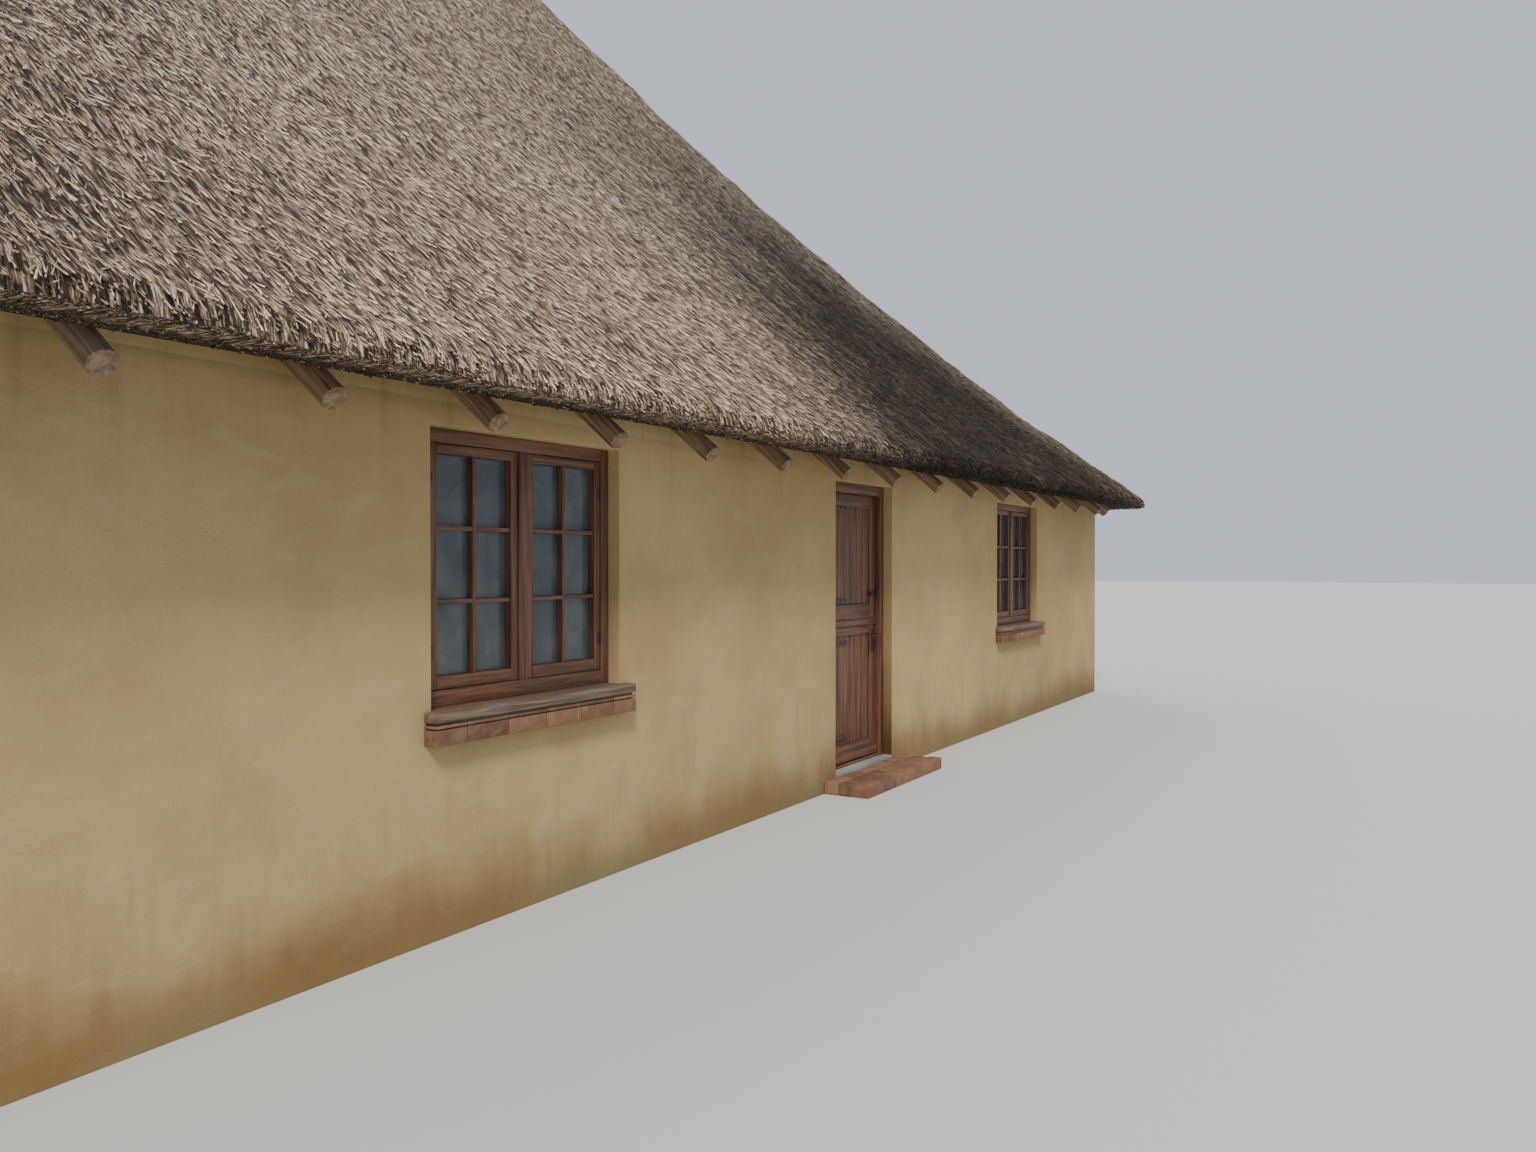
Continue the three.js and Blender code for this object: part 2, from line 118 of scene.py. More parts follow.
# Reeds on the coat: size, how proud the bleached ones lie, how they tip and stray, and the size of the
# tufts that share a tone. A reed reaches past its spot by a share of its length.
REED_LENGTH = (0.036, 0.086)
REED_WIDTH = (0.0022, 0.0049)
REED_FLATNESS = 0.8
REED_PROUD = 0.010
REED_TILT = 0.0035
REED_SINK = 0.004
REED_YAW = 0.30
STRAY_SHARE = 0.03
STRAY_YAW = 3
REED_REACH = 0.5
TUFT = (0.0088, 0.041)
TUFT_DROP = 0.3
MIDDLE_TONE = 0.515

# Reeds of the eave: those that hang over its edge and those cut level under it, on a square metre, and
# those round each corner. Their tone starts at EAVE_TONE's first number, and the second is its range.
EAVE_REEDS = 1900
EAVE_REED_LENGTH = (0.06, 0.11)
EAVE_REACH = 0.20
CUT_REEDS = 640
CUT_REACH = 0.15
CORNER_REEDS = 60
CORNER_SPREAD = 0.17
CORNER_HEIGHTS = (0.05, 0.95)
CORNER_FALL = 2 * START_SLOPE
EAVE_TONE = (0.14, 0.55)
# What of the coat is top, edge or level cut: how far its faces point up, and its inset.
TOP_FACING = 0.3
EDGE_FACING = 0.6
EDGE_WIDTH = 0.09
CUT_FACING = -0.9
CUT_STRIP = (0.02, 0.3)

# Each slope: its turn on plan, half its eave's length, and how far that eave is from the middle.
SIDES = {
    "front": (0, HALF_LENGTH, HALF_WIDTH),
    "right": (90, HALF_WIDTH, HALF_LENGTH),
    "back": (180, HALF_LENGTH, HALF_WIDTH),
    "left": (-90, HALF_WIDTH, HALF_LENGTH),
}
# How finely a slope is made: pitch of the coat's columns and rows, reeds on a square metre and their
# scale, the coat's own tone, contrast from tuft to tuft and from reed to reed, and the inset where its
# reeds are parted in two pieces.
FRONT_STYLE = {
    "pitch": (0.038, 0.078), "reeds": 1250, "scale": 1.0, "coat_tone": 0.83,
    "tuft_contrast": 1.40, "reed_contrast": 0.34, "split": 1.9,
}
OTHER_STYLE = {
    "pitch": (0.044, 0.090), "reeds": 420, "scale": 1.3, "coat_tone": 0.82,
    "tuft_contrast": 0.55, "reed_contrast": 0.16, "split": 6.0,
}
STYLES = {"front": FRONT_STYLE, "right": OTHER_STYLE, "back": OTHER_STYLE, "left": OTHER_STYLE}

# Roof poles and laths, as the solids have them.
RAFTER_RADIUS = 0.05
HIP_RADIUS = 0.065
POLE_DEPTH = 0.03
POLE_END_GAP = 0.02
RAFTER_SPACING = 0.8
FRONT_RAFTERS = 15
END_RAFTERS = 11
RAFTER_TAIL = 0.3
HIP_TAIL = 0.45
POLE_REACH = 0.6
POLE_SIDES = 14
BARK_SHARE = 0.22
POLE_EDGE_SHARE = 0.08
LATH_RADIUS = 0.019
LATH_BED = 0.002
LATH_SPACING = 0.3
LATH_START = 0.42
LATH_STOP = 0.06
LATH_TOP_GAP = 0.2
SHORTEST_LATH = 0.15

# Walls, the masonry round the hip poles' feet, and the ridge's mortar.
PLASTER_EDGE = 0.007
PACKING_LAP = 0.03
PACKING_CUTS = 4
CAP_EDGE = 0.02
CAP_CRUST = 0.046

# Openings, measured from the wall face inwards and from the ground up. The bottom rail of a sash, or of
# a half of the door, is FOOT_SHARE times as high as its top rail.
HEAD = 2.11
REVEAL = 0.07
FRAME_DEPTH = 0.09
FRAME_FACE = 0.06
BOTTOM_RAIL = 0.07
WINDOW_HALF = 0.6247
LIGHT_HALF = WINDOW_HALF - FRAME_FACE
MULLION_HALF = 0.028
MULLION_DEPTH = 0.07
SASH_SETBACK = 0.008
SASH_DEPTH = 0.056
SASH_FACE = 0.042
SASH_GAP = 0.0025
BAR_FACE = 0.020
BAR_SETBACK = 0.006
PANE_ROWS = 3
FOOT_SHARE = 1.3

# Sills: a timber board on a course of bricks and clay slips, with a dark groove under and over the slips.
SILL_HORN = 0.045
SILL_PROJECTION = 0.07
BRICK_SILL = (0.8063, 0.8990)
TIMBER_SILL = (0.8996, 0.9436)
SILL_UNITS = (0.18, 0.245, 0.245, 0.245, 0.245, 0.18)
SILL_UNIT_BACK = 0.01
SILL_JOINT = 0.006
SILL_SLIP = 0.012
SILL_GROOVES = (0.006, 0.010)
SILL_BED_INSET = 0.016
SILL_BED_BACK = 0.25
BRICK_WANDER = 0.0015
BRICK_EDGE = 0.004

# The door: a leaf in two halves that meet at LEAF_SPLIT.
FLOOR_TOP = 0.1003
DOOR_HALF = 0.4697
JAMB_FACE = 0.07
THRESHOLD = 0.018
LEAF_GAP = 0.003
LEAF_LOW = FLOOR_TOP + 0.022
LEAF_TOP = HEAD - JAMB_FACE - LEAF_GAP
LEAF_HALF = DOOR_HALF - JAMB_FACE - LEAF_GAP
LEAF_SPLIT = 1.12
LEAF_THICKNESS = 0.044
LEAF_SETBACK = 0.11
LEAF_FRONT = LEAF_SETBACK - WALL_Y
LEAF_BACK = LEAF_FRONT + LEAF_THICKNESS
STILE = 0.095
BOARDS = 6
BOARD_GAP = 0.003
STRAP_HEIGHTS = (0.30, 0.98, 1.27, 1.93)
LOCK_PLATE = (0.88, 1.06)
LEVER_HEIGHT = 1.01
KEYHOLE_HEIGHT = 0.935
BOLT_HEIGHT = 1.315

# The step: rows of bricks, a little below and inside the solid's faces, in a mortar bed.
STEP_ROWS = 3
STEP_BRICK = 0.222
STEP_BRICK_WIDTH = 0.102
STEP_GAP = 0.010
STEP_MARGIN = 0.002
STEP_BRICK_EDGE = 0.005
STEP_BED_INSET = 0.007
SHORTEST_BRICK = 0.03

# Each window: the middle of its opening on plan, and its turn.
WINDOWS = {
    "front_left_window": (-3.5, -WALL_Y, 0),
    "front_right_window": (3.5, -WALL_Y, 0),
    "back_left_window": (-3.5, WALL_Y, 180),
    "back_right_window": (3.5, WALL_Y, 180),
    "left_window": (-WALL_X, 0, -90),
    "right_window": (WALL_X, 0, 90),
}

# The photograph's camera.
CAMERA_PLACE = Vector((-7.496, -8.573, 1.55))
CAMERA_WAY = Vector((0.866, 0.5, -0.0121))
FOCAL_PIXELS = 1154
PHOTO_WIDTH = 1536
SENSOR = 36.0

# What counts as a sharp edge, as flat, as near, and as no more than a seam.
SHARP_ANGLE = math.radians(30)
FLAT_ANGLE = math.radians(0.5)
NEAR = 0.01
SEAM = 0.001
draw = np.random.default_rng(2957)


# Shader arithmetic: a socket that takes part in Python expressions.
class Signal:
    def __init__(self, finish, socket):
        self.finish = finish
        self.socket = socket

    def __add__(self, other):
        return self.finish.maths("ADD", self, other)

    def __sub__(self, other):
        return self.finish.maths("SUBTRACT", self, other)

    def __rsub__(self, other):
        return self.finish.maths("SUBTRACT", other, self)

    def __mul__(self, other):
        return self.finish.maths("MULTIPLY", self, other)

    __radd__ = __add__
    __rmul__ = __mul__


class Finish:
    """One material: a shader, fed by the nodes that the node method adds."""

    def __init__(self, name, roughness=0.9, **uniform):
        self.material = bpy.data.materials.new(name)
        self.material.use_nodes = True
        self.tree = self.material.node_tree
        self.tree.nodes.clear()
        self.shader = self.tree.nodes.new("ShaderNodeBsdfPrincipled")
        output = self.tree.nodes.new("ShaderNodeOutputMaterial")
        self.tree.links.new(self.shader.outputs["BSDF"], output.inputs["Surface"])
        self.give("Roughness", roughness)
        for socket, value in uniform.items():
            self.give(socket.replace("_", " "), value)

    def feed(self, socket, value):
        if isinstance(value, Signal):
            self.tree.links.new(value.socket, socket)
        else:
            socket.default_value = value

    def give(self, socket, value):
        self.feed(self.shader.inputs[socket], value)

    def node(self, kind, settings=None, sockets=None, out=0):
        node = self.tree.nodes.new(kind)
        for key, value in (settings or {}).items():
            if key == "stops":
                self.set_stops(node.color_ramp, value)
            else:
                setattr(node, key, value)
        for key, value in (sockets or {}).items():
            self.feed(node.inputs[key], value)
        return Signal(self, node.outputs[out])

    @staticmethod
    def set_stops(ramp, stops):
        while len(ramp.elements) < len(stops):
            ramp.elements.new(1.0)
        for element, (position, colour) in zip(ramp.elements, stops):
            element.position = position
            element.color = (*colour, 1.0)

    def maths(self, operation, first, second):
        return self.node("ShaderNodeMath", {"operation": operation}, {0: first, 1: second})

    def place(self):
        return self.node("ShaderNodeTexCoord", out="Object")

    def attribute(self, name, out="Fac"):
        return self.node("ShaderNodeAttribute", {"attribute_name": name}, out=out)

    def stretched(self, vector, scale, shift=(0.0, 0.0, 0.0)):
        return self.node("ShaderNodeMapping", None, {"Vector": vector, "Scale": scale, "Location": shift})

    def noise(self, vector, scale, detail=3.0, roughness=0.55, distortion=0.0):
        sockets = {"Vector": vector, "Scale": scale, "Detail": detail,
                   "Roughness": roughness, "Distortion": distortion}
        return self.node("ShaderNodeTexNoise", None, sockets)

    def cells(self, vector, scale, feature="F1", out="Distance"):
        sockets = {"Vector": vector, "Scale": scale}
        return self.node("ShaderNodeTexVoronoi", {"feature": feature}, sockets, out)

    def cracks(self, place, scale, width):
        """Thin cracks that wander, and run out here and there."""
        sockets = {"Vector": place, "Scale": 2.6, "Detail": 5.0, "Roughness": 0.6}
        wander = self.node("ShaderNodeTexNoise", None, sockets, "Color")
        bent = self.node("ShaderNodeVectorMath", {"operation": "MULTIPLY_ADD"},
                         {0: wander, 1: (0.7, 0.7, 0.7), 2: place})
        lines = 1.0 - self.rise(self.cells(bent, scale, "DISTANCE_TO_EDGE"), 0.0, width)
        return lines * self.rise(self.noise(place, 1.7, 2.0), 0.46, 0.58)

    def stalk_ends(self, run, fineness):
        """Short stalks lying up the slope, each with its own tone, and painted shade in the gaps between
        them.
        """
        settings = {"voronoi_dimensions": "2D"}
        sway = self.noise(self.stretched(run, (9.0, 5.0, 1.0)), 1.0, 2.0)
        bent = self.stretched(run, fineness)
        bent = self.node("ShaderNodeVectorMath", {"operation": "ADD"}, {0: bent, 1: sway})
        sockets = {"Vector": bent, "Scale": 1.0}
        tone = self.axis(self.node("ShaderNodeTexVoronoi", settings, sockets, "Color"), "X")
        # The gaps between the stalks are painted dark, as shade between them.
        gap = self.rise(self.node("ShaderNodeTexVoronoi", settings, sockets, "Distance"), 0.30, 0.75)
        return self.rise(tone, -0.1, 0.9) * (1.0 - gap * 0.75)

    def rise(self, signal, low, high):
        sockets = {"Value": signal, "From Min": low, "From Max": high}
        return self.node("ShaderNodeMapRange", {"interpolation_type": "SMOOTHSTEP"}, sockets)

    def ramp(self, signal, *stops):
        return self.node("ShaderNodeValToRGB", {"stops": stops}, {"Fac": signal})

    def mixed(self, share, first, second, blend="MIX"):
        first, second = [colour if isinstance(colour, Signal) else (*colour, 1.0)
                         for colour in (first, second)]
        settings = {"data_type": "RGBA", "blend_type": blend}
        return self.node("ShaderNodeMix", settings, {0: share, 6: first, 7: second}, 2)

    def axis(self, vector, letter):
        return self.node("ShaderNodeSeparateXYZ", None, {0: vector}, letter)

    def relief(self, height, distance, strength=1.0):
        bump = self.node("ShaderNodeBump", None,
                         {"Height": height, "Distance": distance, "Strength": strength})
        self.give("Normal", bump)


# Finishes. Each returns its material.
def thatch_finish(name, reeds):
    """Weathered reed: bleached and dark stalks with painted shade between them, dark damp moss and painted
    shade by the shaded hip, browner low down.
    """
    f = Finish(name, roughness=0.92, Specular_IOR_Level=0.25)
    place = f.place()
    foot = f.attribute("foot_gap")
    under = f.attribute("under")
    mottle = f.noise(place, 0.8, 4.0, 0.6)
    patches = f.noise(place, 4.5, 3.0, 0.6)
    if reeds:
        stalks = f.attribute("tone") * 0.90 + f.noise(place, 62.0, 2.0) * 0.46 - 0.17
    else:
        run = f.node("ShaderNodeUVMap", {"uv_map": "slope_run"})
        near = f.stalk_ends(run, (160.0, 20.0, 1.0))
        deep = f.stalk_ends(run, (85.0, 11.0, 1.0))
        # Pits: painted shade where the reed ends stand apart.
        pits = f.rise(f.noise(f.stretched(run, (55.0, 9.0, 1.0)), 1.0, 3.0, 0.6), 0.34, 0.54)
        stalks = (near * 0.55 + deep * 0.55) * (pits * 0.55 + 0.45) * f.attribute("tone")
        f.relief(near * 0.5 + deep * 0.3 + pits * 0.4, 0.012, 0.9)
    # The ramp's dark end takes the darkest reeds, and on the coat the painted shade of the gaps and pits.
    colour = f.ramp(
        stalks,
        (0.0, (0.016, 0.011, 0.008)),
        (0.25, (0.075, 0.054, 0.038)),
        (0.50, (0.350, 0.262, 0.185)),
        (0.75, (0.750, 0.595, 0.450)),
        (1.0, (0.950, 0.810, 0.650)),
    )
    colour = f.mixed(f.rise(foot, 1.8, 3.8) * 0.5, colour, (0.80, 0.80, 0.76), "MULTIPLY")
    worn = f.rise(mottle, 0.38, 0.72)
    colour = f.mixed(worn * 0.30, colour, (0.66, 0.62, 0.58), "MULTIPLY")
    colour = f.mixed(f.rise(patches, 0.52, 0.75) * 0.30, colour, (0.58, 0.53, 0.48), "MULTIPLY")
    low_down = 1.0 - f.rise(foot, 0.2, 2.6)
    colour = f.mixed(low_down * 0.30, colour, (1.0, 0.86, 0.70), "MULTIPLY")
    # Damp moss and painted shade by the hips, multiplied over the reed colour.
    damp = f.attribute("damp") + (patches - 0.5) * 0.35 + (mottle - 0.5) * 0.25
    moss_and_shade = f.mixed(f.noise(place, 14.0, 3.0), (0.125, 0.120, 0.110), (0.050, 0.050, 0.044))
    colour = f.mixed(f.node("ShaderNodeClamp", None, {0: damp}), colour, moss_and_shade, "MULTIPLY")
    ceiling = f.mixed(stalks, (0.10, 0.060, 0.030), (0.42, 0.29, 0.15))
    # The level cut under the eave: pale stalk ends on a near-black ground, painted shade under the eave and
    # in the gaps between the ends.
    ends = 1.0 - f.rise(f.cells(place, 105.0), 0.16, 0.40)
    cut = f.mixed(ends, (0.022, 0.015, 0.010), (0.30, 0.215, 0.140))
    ceiling = f.mixed(f.rise(foot, 0.27, 0.31), cut, ceiling)
    f.give("Base Color", f.mixed(under, colour, ceiling))
    return f.material


def wood_finish(name, dark, light, roughness, grain_vector=None, wear=0.3):
    """Timber with its grain along the piece, checks, knots and a worn surface."""
    f = Finish(name, roughness=roughness)
    place = f.place()
    run = grain_vector(f) if grain_vector else f.attribute("grain_run", "Vector")
    grain = f.noise(f.stretched(run, (2.2, 46.0, 46.0)), 1.0, 5.0, 0.6, 0.35)
    pores = f.noise(f.stretched(run, (9.0, 240.0, 240.0)), 1.0, 2.0)
    checks = 1.0 - f.rise(f.noise(f.stretched(run, (1.1, 28.0, 28.0), (3.0, 1.0, 2.0)), 1.0, 2.0), 0.30, 0.36)
    knots = 1.0 - f.rise(f.cells(f.stretched(run, (2.0, 7.0, 7.0)), 1.0), 0.05, 0.16)
    colour = f.mixed(f.rise(grain, 0.3, 0.72), dark, light)
    colour = f.mixed(f.rise(pores, 0.55, 0.7) * 0.35, colour, (0.45, 0.38, 0.33), "MULTIPLY")
    colour = f.mixed(knots * 0.7, colour, (0.40, 0.28, 0.20), "MULTIPLY")
    colour = f.mixed(checks * 0.75, colour, (0.28, 0.24, 0.22), "MULTIPLY")
    weather = f.rise(f.noise(place, 3.1, 4.0, 0.6), 0.45, 0.75)
    grey = tuple(sum(light) / 3 * share for share in (1.08, 1.0, 0.92))
    colour = f.mixed(weather * wear, colour, grey)
    f.give("Base Color", colour)
    f.give("Roughness", roughness + weather * 0.2 + grain * 0.08)
    f.relief(grain * 0.5 + pores * 0.3 - checks * 1.2 - knots * 0.3, 0.0022, 0.8)
    return f.material


def plaster_finish(name):
    """Ochre paint on hand-floated plaster: float marks, splashes at the foot, drips and patches."""
    f = Finish(name, roughness=0.9, Specular_IOR_Level=0.3)
    place = f.place()
    height = f.axis(place, "Z")
    broad = f.noise(place, 1.1, 4.0, 0.6)
    float_marks = f.noise(f.stretched(place, (3.0, 3.0, 7.0)), 1.0, 5.0, 0.6, 0.6)
    sand = f.noise(place, 230.0, 2.0, 0.7)
    pits = (1.0 - f.rise(f.cells(place, 38.0), 0.05, 0.13)) * f.rise(f.noise(place, 2.3), 0.52, 0.66)
    streaks = f.noise(f.stretched(place, (9.0, 9.0, 0.7)), 1.0, 4.0, 0.65)
    colour = f.mixed(f.rise(broad, 0.3, 0.72), (0.405, 0.280, 0.120), (0.500, 0.360, 0.170))
    colour = f.mixed(f.rise(float_marks, 0.5, 0.8) * 0.30, colour, (0.56, 0.43, 0.235))
    colour = f.mixed(f.rise(sand, 0.5, 0.75) * 0.18, colour, (0.55, 0.47, 0.36), "MULTIPLY")
    colour = f.mixed(pits * 0.35, colour, (0.50, 0.42, 0.32), "MULTIPLY")
    splash = (1.0 - f.rise(height + (broad - 0.5) * 0.35 + (streaks - 0.5) * 0.25, 0.03, 0.42)) * 0.75
    colour = f.mixed(splash, colour, (0.40, 0.33, 0.25), "MULTIPLY")
    under_sill = (1.0 - f.rise(height, 0.45, 0.80)) * f.rise(streaks, 0.52, 0.70)
    drips = f.rise(height, 1.7, 2.4) * f.rise(streaks, 0.50, 0.72)
    colour = f.mixed(under_sill * 0.16 + drips * 0.40, colour, (0.50, 0.44, 0.36), "MULTIPLY")
    algae = (1.0 - f.rise(height + (broad - 0.5) * 0.3, 0.02, 0.20)) * f.rise(broad, 0.45, 0.65)
    colour = f.mixed(algae * 0.5, colour, (0.16, 0.17, 0.09))
    f.give("Base Color", colour)
    f.give("Roughness", 0.82 + sand * 0.15)
    f.relief(broad * 2.2 + float_marks * 0.9 + sand * 0.16 - pits * 0.3, 0.006, 0.85)
    return f.material


def brick_finish(name):
    """Red-brown clay brick: fired blotches, sandy pores and pale dust in patches."""
    f = Finish(name, roughness=0.86)
    place = f.place()
    tone = f.attribute("tone")
    blotches = f.noise(place, 16.0, 4.0, 0.65)
    sand = f.noise(place, 260.0, 2.0, 0.7)
    pores = 1.0 - f.rise(f.cells(place, 110.0), 0.10, 0.24)
    colour = f.mixed(tone, (0.125, 0.058, 0.030), (0.255, 0.125, 0.060))
    colour = f.mixed(f.rise(blotches, 0.45, 0.7) * 0.45, colour, (0.33, 0.195, 0.100))
    colour = f.mixed(0.40 - f.rise(blotches, 0.25, 0.45) * 0.40, colour, (0.075, 0.040, 0.026))
    colour = f.mixed(pores * 0.5, colour, (0.45, 0.36, 0.30), "MULTIPLY")
    dust = f.rise(f.noise(place, 5.0, 4.0), 0.5, 0.75)
    colour = f.mixed(dust * 0.20, colour, (0.36, 0.28, 0.20))
    f.give("Base Color", colour)
    f.give("Roughness", 0.78 + sand * 0.18)
    f.relief(blotches * 0.6 + sand * 0.3 - pores * 0.7, 0.0025, 0.8)
    return f.material


def mortar_finish(name, dark, light, stain):
    """Cement: trowel marks, fine cracks, lichen spots and dark runs."""
    f = Finish(name, roughness=0.92)
    place = f.place()
    broad = f.noise(place, 2.4, 5.0, 0.65)
    trowel = f.noise(f.stretched(place, (2.0, 14.0, 14.0)), 1.0, 4.0, 0.6, 0.4)
    sand = f.noise(place, 190.0, 2.0, 0.7)
    cracks = f.cracks(place, 1.3, 0.012)
    spots = 1.0 - f.rise(f.cells(place, 21.0), 0.12, 0.3)
    colour = f.mixed(f.rise(broad, 0.3, 0.7), dark, light)
    colour = f.mixed(f.rise(trowel, 0.5, 0.75) * 0.3, colour, tuple(value * 1.25 for value in light))
    colour = f.mixed(f.rise(sand, 0.5, 0.8) * 0.3, colour, (0.55, 0.52, 0.50), "MULTIPLY")
    colour = f.mixed(cracks * 0.6 * stain, colour, (0.30, 0.28, 0.26), "MULTIPLY")
    lichen = spots * f.rise(f.noise(place, 3.3, 3.0), 0.5, 0.62)
    colour = f.mixed(lichen * 0.6 * stain, colour, (0.42, 0.42, 0.30))
    colour = f.mixed(f.rise(broad, 0.52, 0.72) * 0.6 * stain, colour, (0.42, 0.38, 0.34), "MULTIPLY")
    f.give("Base Color", colour)
    f.give("Roughness", 0.85 + sand * 0.12)
    f.relief(broad * 1.2 + trowel * 0.7 + sand * 0.25 - cracks * 0.8 * stain, 0.005, 0.8)
    return f.material


def glass_finish(name):
    """Clear glass with a thin film of dust, in patches and runs."""
    f = Finish(name, roughness=0.03, IOR=1.5, Specular_IOR_Level=0.6)
    place = f.place()
    film = f.noise(place, 4.0, 4.0, 0.6)
    runs = f.noise(f.stretched(place, (14.0, 14.0, 5.0)), 1.0, 4.0, 0.65)
    dust = f.rise(film * 0.75 + runs * 0.35, 0.42, 0.85)
    f.give("Base Color", f.mixed(dust, (0.11, 0.135, 0.145), (0.22, 0.225, 0.21)))
    f.give("Roughness", 0.02 + dust * 0.16)
    f.give("Alpha", 0.44 + dust * 0.14)
    return f.material


def iron_finish(name):
    """Black-painted iron, chipped to rust in places."""
    f = Finish(name, roughness=0.5, Metallic=0.0)
    place = f.place()
    chips = f.rise(f.noise(place, 55.0, 5.0, 0.7), 0.56, 0.66)
    hammer = f.noise(place, 90.0, 2.0)
    colour = f.mixed(chips, (0.022, 0.021, 0.020), (0.16, 0.065, 0.028))
    f.give("Base Color", colour)
    f.give("Roughness", 0.42 + chips * 0.4)
    f.relief(hammer * 0.6 - chips * 0.5, 0.0012, 0.8)
    return f.material


def twine_finish(name):
    """Tarred sisal twine."""
    f = Finish(name, roughness=0.85)
    place = f.place()
    strands = f.noise(place, 240.0, 2.0)
    f.give("Base Color", f.mixed(strands, (0.035, 0.022, 0.013), (0.15, 0.10, 0.06)))
    f.relief(strands, 0.001)
    return f.material


def along_axis(letter):
    """A grain vector for a node that keeps its solid, with the grain along X or Y."""
    turn = {"X": 0.0, "Y": math.pi / 2}[letter]

    def vector(f):
        return f.node("ShaderNodeMapping", None, {"Vector": f.place(), "Rotation": (0.0, 0.0, turn)})

    return vector


DARK_STAIN, LIGHT_STAIN = (0.070, 0.026, 0.012), (0.225, 0.092, 0.040)
DARK_POLE, LIGHT_POLE = (0.13, 0.075, 0.040), (0.36, 0.235, 0.135)
DARK_PLATE, LIGHT_PLATE = (0.20, 0.13, 0.07), (0.42, 0.30, 0.17)
THATCH = thatch_finish("weathered_thatch", False)
REEDS = thatch_finish("weathered_reeds", True)
PLASTER = plaster_finish("ochre_plaster")
BRICK = brick_finish("clay_brick")
JOINT = mortar_finish("brick_joint", (0.10, 0.082, 0.062), (0.20, 0.165, 0.125), 0.3)
RIDGE_MORTAR = mortar_finish("ridge_mortar", (0.115, 0.10, 0.085), (0.27, 0.24, 0.205), 1.0)
CONCRETE = mortar_finish("floated_concrete", (0.25, 0.24, 0.22), (0.40, 0.385, 0.35), 0.5)
STAINED = wood_finish("stained_joinery", DARK_STAIN, LIGHT_STAIN, 0.48, wear=0.22)
SILL_WOOD = wood_finish("weathered_sill", (0.085, 0.052, 0.030), (0.250, 0.165, 0.098), 0.72, wear=0.45)
POLES = wood_finish("debarked_pole", DARK_POLE, LIGHT_POLE, 0.78, wear=0.35)
RIDGE_POLE_WOOD = wood_finish("ridge_pole_wood", DARK_POLE, LIGHT_POLE, 0.78, along_axis("X"))
PLATE_WOOD = {
    "X": wood_finish("sawn_plate_long", DARK_PLATE, LIGHT_PLATE, 0.8, along_axis("X")),
    "Y": wood_finish("sawn_plate_short", DARK_PLATE, LIGHT_PLATE, 0.8, along_axis("Y")),
}
GLASS = glass_finish("dusty_glass")
IRON = iron_finish("black_iron")
TWINE = twine_finish("tarred_twine")


# Modelling by operators: what is added is alone selected, then shaped in edit mode.
def linked(name, data):
    """A new object with this mesh, light or lens, in the scene."""
    thing = bpy.data.objects.new(name, data)
    bpy.context.scene.collection.objects.link(thing)
    return thing


def alone(piece):
    bpy.ops.object.select_all(action="DESELECT")
    piece.select_set(True)
    bpy.context.view_layer.objects.active = piece


def started(name, add, **place):
    bpy.ops.object.select_all(action="DESELECT")
    add(**place)
    piece = bpy.context.active_object
    piece.name = name
    piece.data.name = name
    bpy.ops.object.transform_apply(location=True, rotation=True, scale=True)
    return piece


def edited(piece, *steps):
    """Runs edit-mode steps on the whole mesh."""
    alone(piece)
    bpy.ops.object.mode_set(mode="EDIT")
    bpy.ops.mesh.select_all(action="SELECT")
    for step in steps:
        step()
    bpy.ops.object.mode_set(mode="OBJECT")


def recalculate():
    bpy.ops.mesh.select_all(action="SELECT")
    bpy.ops.mesh.normals_make_consistent(inside=False)


def merge(distance=0.0001):
    bpy.ops.mesh.select_all(action="SELECT")
    bpy.ops.mesh.remove_doubles(threshold=distance)


def push(x, y, z):
    bpy.ops.mesh.extrude_region_move(TRANSFORM_OT_translate={"value": (x, y, z)})


def pick_edges(test):
    """Selects the sharp edges whose middle passes the test."""
    bpy.context.tool_settings.mesh_select_mode = (False, True, False)
    bpy.ops.mesh.select_all(action="DESELECT")
    mesh = bmesh.from_edit_mesh(bpy.context.active_object.data)
    for edge in mesh.edges:
        middle = (edge.verts[0].co + edge.verts[1].co) / 2
        edge.select_set(edge.calc_face_angle(0) > SHARP_ANGLE and test(middle))
    mesh.select_flush_mode()
    bmesh.update_edit_mesh(bpy.context.active_object.data)


def applied(piece, kind, **values):
    """Gives a piece a modifier with these values, and applies it."""
    modifier = piece.modifiers.new(kind.lower(), kind)
    for key, value in values.items():
        setattr(modifier, key, value)
    alone(piece)
    bpy.ops.object.modifier_apply(modifier=modifier.name)


def rounded(piece, width, segments=2):
    applied(piece, "BEVEL", width=width, segments=segments, limit_method="ANGLE",
            angle_limit=SHARP_ANGLE, harden_normals=False)


def smooth(piece, degrees=40):
    alone(piece)
    bpy.ops.object.shade_smooth_by_angle(angle=math.radians(degrees))


def points_of(piece):
    places = np.empty(len(piece.data.vertices) * 3)
    piece.data.vertices.foreach_get("co", places)
    return places.reshape(-1, 3)


def move_points(piece, places):
    piece.data.vertices.foreach_set("co", np.ascontiguousarray(places, dtype=float).ravel())
    piece.data.update()


def give_values(piece, name, values):
    values = np.broadcast_to(values, len(piece.data.vertices)).astype(float)
    piece.data.attributes.new(name, "FLOAT", "POINT").data.foreach_set("value", values)


